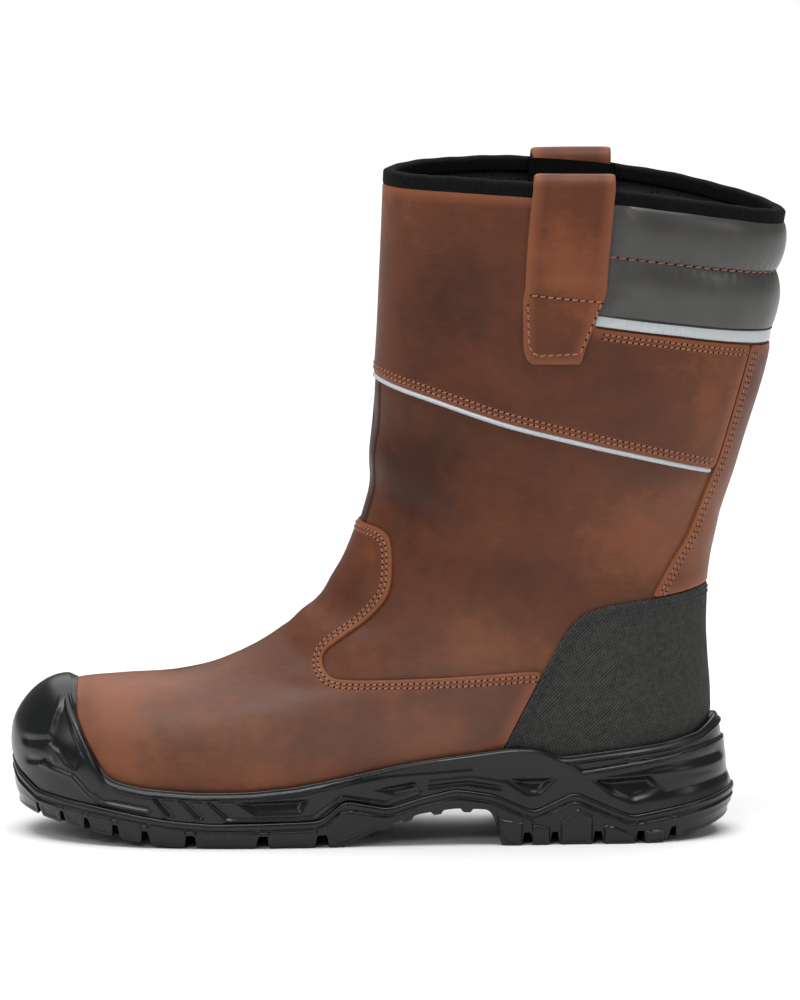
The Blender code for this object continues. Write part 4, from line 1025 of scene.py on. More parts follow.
STRAP_TOP = Strap(282.0, 56.2, 90.2)
STRAP_WALL, STRAP_ARCH, STRAP_SPRING = 2.2, 4.0, -1.0
STRAP_SEAT, STRAP_SEAT_INSIDE = 1.75, 4.2
STRAP_SEWN_Z, STRAP_FREE = 238.0, 1.1
STRAP_DIP, STRAP_DIP_Z, STRAP_DIP_REACH = 0.35, 235.0, 2.2
FACING_MARGIN, FACING_WALL, FACING_RISE, FACING_LENGTH = 2.0, 0.5, 1.2, 51.0
STRAP_STITCH_PITCH = 3.4
STRAP_BOX = [
    Point(53.9, 236.1), Point(84.6, 233.2), Point(75.4, 211.2), Point(57.4, 210.2), Point(54.3, 213.4),
    Point(53.9, 236.1),
]
# Steps across a strap: share of its width and how far its rounded edge drops, mm
EDGE_STEPS = [(0.0, 0.75), (0.012, 0.38), (0.035, 0.14), (0.075, 0.03), (0.13, 0.0)]
# The same at its outside end, by height
END_STEPS = [(206.5, 0.75), (206.8, 0.38), (207.3, 0.14), (208.2, 0.0)]

# Stitch rows that the operators leave for the sewing: thread, place on the last and height, mm
SeamRow = namedtuple("SeamRow", "thread level turn height pitch")
SEAM_ROWS = []


def strip_levels(turns, low, high, shares):
    """Levels of a strip round the last between two side-view lines, row by row."""
    bottom = level_where(turns, lambda x, z: z < along(low, x))
    top = level_where(turns, lambda x, z: z < along(high, x))
    return bottom + (top - bottom) * np.asarray(shares)[:, None]


def walled_grid(name, over, under, material, attributes=None):
    """Closed piece between two matching grids of points, the first one outside."""
    rows, columns = over.shape[:2]
    index = np.arange(rows * columns).reshape(rows, columns)
    cells = grid_cells(rows, columns)
    loop = np.concatenate((index[0, :-1], index[:-1, -1], index[-1, :0:-1], index[:0:-1, 0]))
    after = np.roll(loop, -1)
    lift = rows * columns
    walls = np.stack((after, loop, loop + lift, after + lift), axis=-1)
    faces = np.vstack((cells, cells[:, ::-1] + lift, walls)).tolist()
    points = np.vstack((over.reshape(-1, 3), under.reshape(-1, 3)))
    doubled = {key: np.tile(values.ravel(), 2) for key, values in (attributes or {}).items()}
    return add_mesh(name, points, faces, material, doubled)


def bead_tape():
    """Material of the light band and piping."""
    return material_for("glass_bead_tape", reflective_tape, bpy.context.scene.boot_colours.reflective)


def rim_tape():
    """Material of the collar's binding and the loops' facings."""
    return material_for(
        "ribbed_binding_tape", woven_fabric, bpy.context.scene.boot_colours.tape, TAPE_RIB, TAPE_GLOSS)


class BOOT_OT_collar(bpy.types.Operator):
    """Padded roll at the back of the collar, with the light band under it"""

    bl_idname = "boot.collar"
    bl_label = "Padded collar"

    def execute(self, context):
        colours = context.scene.boot_colours
        sizes = context.scene.boot_sizes
        start = float(turn_at(PAD_LEVEL, PAD_FRONT_X, -1))
        turns = np.linspace(start, 2.0 * np.pi - start, PAD_COLUMNS)
        self.pad(turns, material_for("coated_padding_cover", coated_cover, colours.padding))
        shares = np.array((0.0, 0.05, 0.14, 0.4, 0.7, 0.9, 1.0))
        levels = strip_levels(turns, moved(BAND_LOW, 0.0, 0.3), moved(PAD_LOW, 0.0, 0.9), shares)
        height = sizes.seat + BAND_WALL * quarter(shares / 0.16)[:, None] ** 0.7
        over, under = skin(levels, turns, height), skin(levels, turns, 0.05)
        band = walled_grid("reflective_band", over, under, bead_tape())
        place_piece(band, "reflective_tape", "reflective_band")
        # Black cord along the pad's lower edge: the black seam there, its dark colour also painted shadow in
        # the joint between the pad and the band
        shares = np.linspace(0.0, 1.0, 7)
        levels = strip_levels(turns, moved(PAD_LOW, 0.0, -SEAM_LINE), PAD_LOW, shares)
        height = sizes.seat + BAND_WALL + SEAM_LINE_RISE * np.sin(np.pi * shares)[:, None]
        cord = material_for("black_seam_cord", sewing_thread, colours.tape)
        line = walled_grid("pad_seam_and_shadow", skin(levels, turns, height), skin(levels, turns, 0.2), cord)
        place_piece(line, "binding_tape")
        self.front_welt()
        return {"FINISHED"}

    def front_welt(self):
        """Leather strip down the front of the shaft, between the cuff and the vamp, darkened as painted shade
        for the shadow along the front seam.
        """
        heights = np.linspace(FRONT_WELT_LOW, FRONT_WELT_HIGH, 61)
        level = on_last(np.full(len(heights), -40.0), heights, -1)[0][:, None]
        across = np.linspace(-1.0, 1.0, 25)
        middle = bare_last(level[:, 0], np.zeros(len(level)))
        beside = bare_last(level[:, 0], np.full(len(level), 0.05))
        turn = across * (0.05 * FRONT_WELT_WIDE / np.linalg.norm(beside - middle, axis=-1))[:, None]
        rise = FRONT_WELT_RISE * quarter(np.minimum((1.0 - np.abs(across)) / 0.08, 1.0))
        over = skin(level + 0.0 * turn, turn, rise + 0.0 * turn)
        piece = walled_grid("front_welt", over, skin(level + 0.0 * turn, turn, -0.3 + 0.0 * turn), leather())
        # Painted shade: the strip's leather is darkened for the shadow along the front seam
        shade_leather(piece, painted_shade=0.4)
        place_piece(piece, "leather")

    def pad(self, turns, material):
        """Two foam rolls with a sewn groove between them, puckered along the thread."""
        shares = np.linspace(0.0, 1.0, PAD_ROWS)
        low = moved(PAD_LOW, 0.0, -0.2)
        high = rim_line(BINDING_DROP + 0.3)
        levels = strip_levels(turns, low, high, shares)
        within = np.mod(shares * 2.0, 1.0)
        within[-1] = 1.0
        roll = (1.0 - np.abs(2.0 * within - 1.0) ** 2.1) ** 0.8 * (1.0 - 0.3 * ease((0.32 - shares) / 0.32))
        sewn = levels[PAD_ROWS // 2]
        along_roll = run_lengths(bare_last(sewn, turns))
        place = bare_last(levels, turns)
        strap = np.array(STRAP_OUTSIDE)
        behind_strap = place[..., 0] - np.interp(place[..., 2], strap[:, 0], strap[:, 2])
        fade = ease((behind_strap - 0.4) / PAD_START)
        height = PAD_SEAT + PAD_EDGE + PAD_ROLL * roll[:, None] * fade
        pull = np.exp(-((shares - 0.5) / PAD_PUCKER_REACH) ** 2)[:, None]
        height += PAD_PUCKER * pull * np.cos(2.0 * np.pi * along_roll / PAD_STITCH_PITCH)
        height += 0.10 * np.sin(along_roll / 5.3 + 6.0 * shares[:, None]) * np.sin(along_roll / 13.0)
        row = slice(5, -5)
        SEAM_ROWS.append(SeamRow(
            "thread", sewn[row], turns[row], PAD_SEAT + PAD_EDGE + 0.25, PAD_STITCH_PITCH))
        piece = walled_grid("collar_pad", skin(levels, turns, height), skin(levels, turns, 0.1), material)
        place_piece(piece, "padding_cover", "collar_pad")


class BOOT_OT_tapes(bpy.types.Operator):
    """Light piping under the cuff panel and the binding folded over the rim"""

    bl_idname = "boot.tapes"
    bl_label = "Tapes"

    def execute(self, context):
        end = float(on_last(PIPING_END_X, PIPING_END_Z, -1)[1])
        turns = np.linspace(-end, end, 321)
        shares = np.linspace(0.0, 1.0, 9)
        edge = rounded(PANEL_EDGE)
        levels = strip_levels(turns, moved(edge, 0.0, -PIPING_DROP), moved(edge, 0.0, 0.1), shares)
        height = 0.35 + PIPING_RISE * np.sin(np.pi * shares)[:, None] ** 0.7
        over, under = skin(levels, turns, height), skin(levels, turns, 0.05)
        piping = walled_grid("reflective_piping", over, under, bead_tape())
        place_piece(piping, "reflective_tape", "reflective_piping")
        self.binding(context)
        return {"FINISHED"}

    def binding(self, context):
        """Woven tape, rounded over the rim and sewn down on both sides of it."""
        sizes = context.scene.boot_sizes
        turns = closed_turns(480)
        outside, within = TAPE_STAND, -sizes.wall - TAPE_STAND
        middle, reach = 0.5 * (outside + within), 0.5 * (outside - within)
        arc = np.linspace(0.0, np.pi, 13)
        profile = [(0.15, -BINDING_DROP), (outside - 0.35, -BINDING_DROP), (outside, -BINDING_DROP + 0.5)]
        profile += [(outside, height) for height in (-2.8, -1.6)]
        profile += [(middle + reach * math.cos(angle), 1.75 * math.sin(angle) - 0.4) for angle in arc]
        profile += [(within, height) for height in (-1.6, -2.8, -BINDING_DROP + 0.5)]
        profile += [(within + 0.35, -BINDING_DROP), (-sizes.wall - 0.1, -BINDING_DROP)]
        profile += [(-sizes.wall - 0.1, 0.1), (0.15, 0.1)]
        rim = bare_last(TOP, turns)
        rise = (rim - bare_last(TOP - 0.05, turns))[:, 2] / 0.05
        around = run_lengths(rim)
        sag = 0.12 * np.sin(around / 6.1) + 0.10 * np.sin(around / 2.3 + 1.0)
        rings = []
        for distance, height in profile:
            level = TOP + min(height, 0.0) / rise
            ring = skin(level, turns, distance)
            ring[:, 2] += max(height, 0.0) + (sag if height > -BINDING_DROP + 0.1 else 0.0)
            rings.append(ring)
        points = np.vstack(rings[::-1])
        faces = ring_faces(len(rings), len(turns), tube=True)
        step = run_lengths(np.array(profile[::-1]))
        weave = {"around": np.tile(around, len(rings)), "rise": np.repeat(step, len(turns))}
        piece = add_mesh("collar_binding", points, faces, rim_tape(), weave, smooth=70.0)
        place_piece(piece, "binding_tape", "collar_binding")


class BOOT_OT_pull_loops(bpy.types.Operator):
    """Leather straps folded over the collar, one on each side"""

    bl_idname = "boot.pull_loops"
    bl_label = "Pull loops"

    def execute(self, context):
        steps = np.array(EDGE_STEPS)
        flat = np.linspace(0.2, 0.8, 9)
        across = np.concatenate((steps[:, 0], flat, 1.0 - steps[::-1, 0]))
        drop = np.concatenate((steps[:, 1], np.zeros(len(flat)), steps[::-1, 1]))
        for name, side in (("pull_loop_outer", -1), ("pull_loop_inner", 1)):
            over, under, edge = self.strap(across, drop, side)
            if side > 0:
                over, under, edge = over[:, ::-1], under[:, ::-1], edge[:, ::-1]
            piece = walled_grid(name, over, under, leather(), {"seam": edge})
            shade_leather(piece)
            place_piece(piece, "leather", name)
            self.sew_box(side)
            self.facing(name, context, side)
        return {"FINISHED"}

    def leg(self, rows, heights, across, side):
        """Levels, turns and widths of a leg of the strap, row by row."""
        table = np.array(sorted(rows))
        fore = np.interp(heights, table[:, 0], table[:, 1])[:, None]
        back = np.interp(heights, table[:, 0], table[:, 2])[:, None]
        level, turn = on_last(fore + (back - fore) * across, heights[:, None] + 0.0 * across, side)
        return level, turn, back - fore

    def strap(self, across, drop, side):
        """Both faces of a strap from its outside end, over the rim, to its inside end."""
        ends, end_drops = np.array(END_STEPS).T
        inset = np.minimum(across, 1.0 - across)
        heights = np.concatenate((ends, np.linspace(209.5, STRAP_OUTSIDE[-1].height, 44)))
        level, turn, width = self.leg(STRAP_OUTSIDE, heights, across, side)
        end_drop = np.interp(heights, ends, end_drops)[:, None]
        free = np.clip((heights - STRAP_SEWN_Z) / (STRAP_TOP.height - STRAP_SEWN_Z), 0.0, 1.0)
        seat = STRAP_SEAT + STRAP_FREE * np.sin(np.pi * free)[:, None] + 0.0 * across
        dip = STRAP_DIP * np.exp(-((heights - STRAP_DIP_Z) / STRAP_DIP_REACH) ** 2)[:, None]
        over = [skin(level, turn, seat + STRAP_WALL - np.maximum(drop, end_drop) - dip)]
        under = [skin(level, turn, seat)]
        edges = [np.minimum(inset * width, (heights - heights[0])[:, None])]
        x = STRAP_TOP.fore_x + (STRAP_TOP.back_x - STRAP_TOP.fore_x) * across
        turn_top = turn_at(TOP, x, side)
        rim = bare_last(TOP, turn_top)
        rim[:, 2] = STRAP_TOP.height
        flat = outward(TOP, turn_top)
        flat[:, 2] = 0.0
        flat = unit(flat)
        middle = 0.5 * (STRAP_SEAT - STRAP_SEAT_INSIDE)
        reach = 0.5 * (STRAP_SEAT + STRAP_SEAT_INSIDE)
        rise = np.array((0.0, 0.0, 1.0))
        arc = np.linspace(0.0, np.pi, 19)[:, None, None]
        low = middle + reach * np.cos(arc)
        under.append(rim + flat * low + rise * (STRAP_ARCH * np.sin(arc) + STRAP_SPRING))
        thick = (STRAP_WALL - drop)[None, :, None]
        high = middle + (reach + thick) * np.cos(arc)
        over.append(rim + flat * high + rise * ((STRAP_ARCH + thick) * np.sin(arc) + STRAP_SPRING))
        edges.append(np.tile(inset * (x[-1] - x[0]), (len(arc), 1)))
        heights = np.linspace(STRAP_INSIDE[0].height, STRAP_INSIDE[-1].height, 22)
        level, turn, width = self.leg(STRAP_INSIDE, heights, across, side)
        under.append(skin(level, turn, -STRAP_SEAT_INSIDE + 0.0 * across))
        over.append(skin(level, turn, -STRAP_SEAT_INSIDE - STRAP_WALL + drop + 0.0 * level))
        edges.append(np.minimum(inset * width, (heights - heights[-1])[:, None]))
        return np.concatenate(over), np.concatenate(under), np.concatenate(edges)

    def facing(self, name, context, side):
        """Black tape over the strap's inside end, level with the binding of the rim."""
        fore, back = STRAP_TOP.fore_x - FACING_MARGIN, STRAP_TOP.back_x + FACING_MARGIN
        x = np.linspace(fore, back, 41)
        rim = bare_last(TOP, turn_at(TOP, x, side))[:, 2]
        drop = np.concatenate(([0.0], np.linspace(1.5, FACING_LENGTH, 30)))[:, None]
        level, turn = on_last(x + 0.0 * drop, rim - drop, side)
        shallow = context.scene.boot_sizes.wall + 1.6
        deep = STRAP_SEAT_INSIDE + STRAP_WALL + FACING_WALL
        edge = quarter(np.minimum(np.minimum(x - fore, back - x) / FACING_MARGIN, 1.0))
        depth = shallow + (deep - shallow) * edge + 0.0 * drop
        over, under = skin(level, turn, -depth), skin(level, turn, FACING_WALL - depth)
        for face in (over, under):
            face[0, :, 2] += FACING_RISE
        weave = {"around": x + 0.0 * drop, "rise": drop + 0.0 * x}
        if side > 0:
            over, under = over[:, ::-1], under[:, ::-1]
        piece = walled_grid(name.replace("pull_loop", "loop_facing"), over, under, rim_tape(), weave)
        place_piece(piece, "binding_tape")

    def sew_box(self, side):
        """Stitched box that holds the strap's outside end."""
        box = np.array(STRAP_BOX)
        spots = evenly(np.column_stack((box, np.zeros(len(box)))), 0.8)
        x = np.interp(spots, np.arange(len(box)), box[:, 0])
        z = np.interp(spots, np.arange(len(box)), box[:, 1])
        level, turn = on_last(x, z, side)
        SEAM_ROWS.append(SeamRow("thread", level, turn, STRAP_SEAT + STRAP_WALL - 0.1, STRAP_STITCH_PITCH))


# Lines in side view that the stitch rows follow, by overlay: line and thread
SEWN_EDGES = {
    "vamp": [(VAMP_EDGE, "thread")],
    "shaft_panel": [(PANEL_EDGE, "thread"), (BAND_LOW, "thread")],
    "back_strip": [(BACK_STRIP_EDGE, "thread")],
    "heel_counter": [(COUNTER_EDGE, "thread_dark")],
}
SHORTEST_RUN = 12
# Places along a stitch: share of its length, share of its thickness, lift
STITCH_STATIONS = [
    (0.0, 0.55, -0.75), (0.13, 0.95, -0.1), (0.5, 1.0, 0.22), (0.87, 0.95, -0.1), (1.0, 0.55, -0.75),
]
STITCH_SIDES, STITCH_SLANT = 8, 0.96
# Needle hole: sides, half of its length and width, and how far its rim and middle stand, mm
HOLE_SIDES, HOLE_LONG, HOLE_WIDE, HOLE_RIM, HOLE_MIDDLE = 7, 0.5, 0.42, 0.05, 0.09


def shown_runs(patch, line):
    """Stretches of a patch's border that lie along a side-view line, as levels and turns."""
    runs = []
    for loop in border_loops(patch.faces):
        loop = np.array(loop)
        place = bare_last(patch.level[loop], patch.turn[loop])
        near = line_distance(line, place[:, 0], place[:, 2]) < SHOWN_REACH
        if near.all() or not near.any():
            continue
        first = np.flatnonzero(~near)[0]
        loop, near = np.roll(loop, -first), np.roll(near, -first)
        breaks = np.flatnonzero(np.diff(near.astype(int)))
        for start, end in zip(breaks[::2], np.append(breaks[1::2], len(loop) - 1)):
            run = loop[start + 1:end + 1]
            if len(run) > SHORTEST_RUN:
                runs.append((patch.level[run], patch.turn[run]))
    return runs


def inset_row(level, turn, inset):
    """Line on the last at a distance inside a border run, smoothed and evenly spaced."""
    place = bare_last(level, turn)
    spots = evenly(place, 1.0)
    numbers = np.arange(len(level))
    level, turn = np.interp(spots, numbers, level), np.interp(spots, numbers, turn)
    place = np.stack([softened(column) for column in bare_last(level, turn).T], axis=-1)
    tangent = unit(np.gradient(place, axis=0))
    inward = unit(np.cross(outward(level, turn), tangent))
    return settled(place + inset * inward, level, turn)


class BOOT_OT_stitching(bpy.types.Operator):
    """Stitches and their needle holes along every sewn edge"""

    bl_idname = "boot.stitching"
    bl_label = "Stitching"

    def execute(self, context):
        sizes = context.scene.boot_sizes
        colours = context.scene.boot_colours
        height = sizes.seat + sizes.overlay
        for name, edges in SEWN_EDGES.items():
            for line, thread in edges:
                line = rounded(line) if line is not BAND_LOW else moved(BAND_LOW, 0.0, -SEAM_GAP)
                for level, turn in shown_runs(SEWN[name], line):
                    for row in (0, 1):
                        place = inset_row(level, turn, sizes.inset + row * sizes.rows)
                        SEAM_ROWS.append(SeamRow(thread, *place, height, sizes.pitch))
        for thread, colour in (("thread", colours.thread), ("thread_dark", colours.thread_dark)):
            rows = [row for row in SEAM_ROWS if row.thread == thread]
            spun = material_for("bonded_" + thread, sewing_thread, colour)
            self.sew("stitches" if thread == "thread" else "stitches_dark", rows, spun, sizes)
        self.punch([row for row in SEAM_ROWS if row.thread == "thread"], sizes)
        return {"FINISHED"}

    def spots(self, row, offset, length):
        """Both ends of each stitch of a row, and the way out of the leather there."""
        place = skin(row.level, row.turn, row.height)
        lengths = run_lengths(place)
        count = int((lengths[-1] - length) / row.pitch)
        starts = 0.5 * row.pitch + row.pitch * (np.arange(max(count, 1)) + offset)
        starts = starts[starts + length < lengths[-1]]
        ends = [np.stack([np.interp(at, lengths, column) for column in place.T], axis=-1)
                for at in (starts, starts + length)]
        numbers = np.interp(starts + 0.5 * length, lengths, np.arange(len(lengths)))
        level = np.interp(numbers, np.arange(len(lengths)), row.level)
        turn = np.interp(numbers, np.arange(len(lengths)), row.turn)
        return ends[0], ends[1], outward(level, turn)

    def sew(self, name, rows, material, sizes):
        """Joined stitches: short round-backed bars whose ends dive into the leather."""
        sides = closed_turns(STITCH_SIDES)[:, None]
        radius = 0.5 * sizes.thread
        corners = len(STITCH_STATIONS) * STITCH_SIDES
        cells = [tuple(reversed(face)) for face in ring_faces(len(STITCH_STATIONS), STITCH_SIDES, tube=False)]
        cells += [tuple(range(STITCH_SIDES)), tuple(range(corners - 1, corners - STITCH_SIDES - 1, -1))]
        points, faces = [], []
        count = 0
        for row in rows:
            start, end, out = self.spots(row, 0.0, sizes.stitch * row.pitch / sizes.pitch)
            aside = np.cross(out, unit(end - start))
            loops = []
            for share, width, lift in STITCH_STATIONS:
                middle = start + share * (end - start) + out * radius * lift
                middle += STITCH_SLANT * radius * (share - 0.5) * aside
                spread = np.cos(sides) * aside[:, None] + np.sin(sides) * out[:, None]
                loops.append(middle[:, None] + radius * width * spread)
            points.append(np.stack(loops, axis=1).reshape(-1, 3))
            for base in range(count, count + len(start) * corners, corners):
                faces += [tuple(corner + base for corner in cell) for cell in cells]
            count += len(start) * corners
        piece = add_mesh(name, np.vstack(points), faces, material)
        place_piece(piece, "leather" if name == "stitches" else "abrasion_fabric")

    def punch(self, rows, sizes):
        """Needle holes between the stitches, as small discs on the leather, coloured dark as painted shade in
        the holes.
        """
        sides = closed_turns(HOLE_SIDES)
        points, faces = [], []
        count = 0
        for row in rows:
            start, end, out = self.spots(row, -0.5 * (1.0 - sizes.stitch / sizes.pitch), 0.02)
            forward = unit(end - start)
            aside = np.cross(out, forward)
            for spot, along_row, across, lift in zip(start, forward, aside, out):
                for side in sides:
                    off = HOLE_LONG * math.cos(side) * along_row + HOLE_WIDE * math.sin(side) * across
                    points.append(spot + off + HOLE_RIM * lift)
                points.append(spot + HOLE_MIDDLE * lift)
                faces += [(count + index, count + (index + 1) % HOLE_SIDES, count + HOLE_SIDES)
                          for index in range(HOLE_SIDES)]
                count += HOLE_SIDES + 1
        material, shader = new_material("needle_hole_shadow")
        fill(material, shader, {
            "Base Color": linear("#140a06"), "Roughness": 0.9, "Specular IOR Level": 0.1})
        piece = add_mesh("needle_holes", np.array(points), faces, material)
        place_piece(piece, "leather")


# Stations of the sole: heights of its underside and of the tread's lip, and the flare of its heel, mm
Station = namedtuple("Station", "x underside lip flare")
SOLE = [
    Station(-157.5, 12.5, 33.0, 0.6), Station(-155.5, 12.0, 27.5, 0.6), Station(-149.0, 10.0, 21.5, 0.4),
    Station(-139.0, 7.8, 19.3, 0.0), Station(-129.0, 5.8, 17.7, 0.0), Station(-117.0, 3.5, 15.5, 0.0),
    Station(-111.0, 2.4, 14.4, 0.0), Station(-96.0, 0.4, 12.0, 0.0), Station(-80.0, 0.0, 10.8, 0.0),
    Station(-58.0, 0.0, 11.1, 0.0), Station(-35.0, 0.0, 11.7, 0.0), Station(-24.6, 0.6, 20.3, 0.0),
    Station(-6.0, 9.2, 16.8, 0.0), Station(8.0, 14.0, 21.2, 0.0), Station(23.0, 16.2, 24.8, 0.0),
    Station(38.6, 15.5, 22.4, 0.0), Station(42.6, 0.0, 20.6, 0.0), Station(55.6, 0.0, 14.6, 0.0),
    Station(73.0, 0.0, 22.7, 0.0), Station(97.0, 0.0, 12.2, 0.4), Station(107.0, 0.0, 14.2, 1.6),
    Station(116.0, 2.4, 16.2, 3.6), Station(123.0, 4.8, 18.2, 5.2), Station(127.2, 7.0, 20.0, 6.2),
    Station(128.5, 8.0, 20.8, 6.6),
]
SOLE_ROWS = np.array(SOLE)
CUP_CLEARANCE, CUP_FACE, CUP_SWELL = 2.7, 5.4, 0.6
LIP_OUT, LIP_IN, LIP_EDGE, LIP_REVEAL = 7.0, 4.8, 2.6, 2.2
# Turn of the tread's lip: distance from the feather edge and drop
LIP_TURN = [(5.2, 0.0), (6.2, 0.0), (6.6, 0.15), (6.9, 0.6)]
# Lines moulded along the tread's side under its lip
LipLine = namedtuple("LipLine", "rise below width")
LIP_LINES = [LipLine(-0.8, 3.4, 0.8), LipLine(0.3, 4.8, 0.7)]
TREAD_DRAFT, SIDE_BREAK, SIDE_OUT = 4.0, 0.4, 5.8
TRAY_THICK, TRAY_SLACK, TRAY_SHARE, LIP_DEPTH = 6.6, 6.0, 0.22, 0.6
RIM_STEPS, RIM_BAND, CUP_TOP_LEVEL = 18, 5.0, 6.0
# Turn of the rim from the cup's inside to its face: share of its thickness and rise
RIM_TURN = [(0.16, 0.35), (0.42, 0.5), (0.70, 0.45), (0.92, 0.2)]
CAP_START_X, CAP_BLEND, CAP_THIN, CAP_THIN_REACH, CAP_TUCK = -120.0, 10.0, 2.9, 3.0, 0.8
BEAD_END_Z, BEAD_FADE = 64.0, 5.0

# Relief of the cup in side view: raised lines (sunk where the height is below 0), and dents with
# their depth at the top and at the foot
Ridge = namedtuple("Ridge", "height width line")
Dent = namedtuple("Dent", "depth foot soft outline")
CUP_RIDGES = [
    Ridge(0.65, 0.8, [Point(-105.4, 21.2), Point(-99.6, 14.0)]),
    Ridge(-0.9, 1.1, [Point(-103.2, 21.4), Point(-97.2, 14.9)]),
    Ridge(0.65, 0.8, [Point(-93.8, 20.2), Point(-87.0, 12.9)]),
    Ridge(-0.9, 1.1, [Point(-91.6, 20.4), Point(-84.8, 13.9)]),
    Ridge(0.65, 0.8, [Point(-82.0, 19.6), Point(-74.6, 12.4), Point(-44.0, 12.4), Point(-36.0, 13.2),
                      Point(-25.0, 22.0), Point(-6.0, 18.6), Point(8.0, 23.2)]),
    Ridge(-0.9, 1.1, [Point(-79.6, 19.8), Point(-72.4, 13.4)]),
    Ridge(0.6, 0.8, [Point(-152.6, 32.6), Point(-139.4, 28.8), Point(-132.0, 21.2), Point(-127.4, 18.8),
                     Point(-107.0, 15.6)]),
    Ridge(-0.6, 0.8, [Point(-152.0, 34.2), Point(-138.6, 30.4), Point(-131.2, 22.8), Point(-126.8, 20.2),
                      Point(-107.0, 17.2)]),
    Ridge(-1.1, 1.5, [Point(-158.5, 41.6), Point(-149.6, 43.2)]),
    Ridge(-1.1, 1.5, [Point(-157.6, 33.6), Point(-149.6, 34.8)]),
    Ridge(0.2, 0.8, [Point(-143.4, 61.0), Point(-147.0, 53.4), Point(-149.2, 45.4)]),
    Ridge(0.2, 0.7, [Point(-150.4, 41.2), Point(-146.0, 38.4), Point(-143.0, 34.4)]),
    Ridge(0.7, 0.6, [Point(57.6, 43.4), Point(66.2, 38.2), Point(76.6, 30.4), Point(119.0, 37.0)]),
    Ridge(-0.8, 1.6, [Point(84.0, 28.6), Point(108.0, 32.4), Point(134.0, 35.4)]),
    Ridge(0.6, 2.2, [Point(108.0, 30.0), Point(136.0, 31.6)]),
    Ridge(-0.7, 1.8, [Point(100.0, 20.0), Point(118.0, 22.6), Point(138.0, 25.6)]),
    Ridge(0.7, 1.2, [Point(95.4, 36.6), Point(95.8, 36.7)]),
    Ridge(-0.5, 1.3, [Point(-34.0, 26.4), Point(-4.0, 31.6), Point(30.0, 34.0)]),
    Ridge(0.5, 1.4, [Point(12.0, 27.6), Point(30.0, 29.2), Point(44.0, 26.6), Point(53.0, 20.6)]),
    Ridge(-0.6, 0.9, [Point(12.0, 25.8), Point(28.0, 27.4), Point(42.0, 25.0)]),
]
CUP_DENTS = [
    Dent(3.2, 0.2, 2.6, [Point(-71.0, 20.6), Point(-38.0, 21.6), Point(-42.0, 14.6), Point(-62.0, 13.8)]),
    Dent(2.8, 0.2, 2.6, [Point(-14.0, 25.0), Point(6.0, 28.6), Point(9.0, 25.4), Point(-3.0, 21.6)]),
    Dent(3.0, 0.8, 3.4, [Point(43.0, 29.4), Point(67.0, 29.4), Point(59.5, 21.0), Point(54.5, 21.0)]),
    Dent(4.6, 0.2, 3.6, [Point(80.0, 28.2), Point(106.0, 29.6), Point(114.0, 22.6), Point(98.0, 16.4),
                         Point(89.0, 20.4)]),
    Dent(1.2, 1.2, 0.7, [Point(62.0, 42.6), Point(76.6, 31.2), Point(119.0, 37.8), Point(140.0, 41.0),
                         Point(140.0, 62.0), Point(62.0, 62.0)]),
    Dent(0.9, 0.9, 1.2, [Point(-142.6, 61.0), Point(-146.4, 53.4), Point(-148.8, 45.0), Point(-149.6, 41.4),
                         Point(-145.6, 38.6), Point(-142.4, 34.2), Point(-138.0, 30.4), Point(-134.0, 37.4),
                         Point(-138.6, 47.0), Point(-141.6, 56.0)]),
]
# Bead along the cup's rim, by place along the foot: how far below the rim, how wide and how high it
# stands, and how deep the flange above it and the groove below it are
Bead = namedtuple("Bead", "x below width height flange groove")
RIM_BEADS = np.array([
    Bead(-165.0, 2.6, 0.7, 0.5, 0.2, 0.25), Bead(-128.0, 2.6, 0.7, 0.55, 0.3, 0.3),
    Bead(-118.0, 1.7, 0.9, 0.7, 0.8, 0.35), Bead(-40.0, 1.6, 0.9, 0.65, 0.7, 0.3),
    Bead(-20.0, 1.2, 0.7, 0.4, 0.3, 0.2), Bead(50.0, 1.2, 0.7, 0.35, 0.3, 0.0),
    Bead(70.0, 2.2, 2.0, 0.1, 1.2, 0.0), Bead(130.0, 2.2, 2.0, 0.1, 1.2, 0.0),
])
# Tread: grooves at the sole's edge, how far each one slants, and the grooves along its middle
Groove = namedtuple("Groove", "x slant width")
GROOVES = [
    Groove(-152.4, -48.0, 2.2), Groove(-142.6, -40.0, 2.4), Groove(-132.4, -30.0, 2.8),
    Groove(-120.4, -22.0, 3.0), Groove(-108.0, -16.0, 3.4), Groove(-89.0, -10.0, 4.4),
    Groove(-58.6, -4.0, 4.8), Groove(-33.5, 4.0, 5.2), Groove(53.5, 0.0, 3.8), Groove(65.2, 4.0, 3.4),
    Groove(83.6, 8.0, 4.0), Groove(101.2, 18.0, 3.6), Groove(113.6, 30.0, 3.0),
]
GROOVE_INNER, GROOVE_BITE = 13.0, 8.0
GROOVE_DEPTH, GROOVE_SOFT, GROOVE_END_X = 5.6, 1.0, 120.0
SPINE_RUNS = [(-134.0, -22.0), (51.0, 107.0)]
SPINE_Y, SPINE_WIDTH, SPINE_DEPTH, SPINE_FADE = 10.5, 3.4, 4.0, 3.0
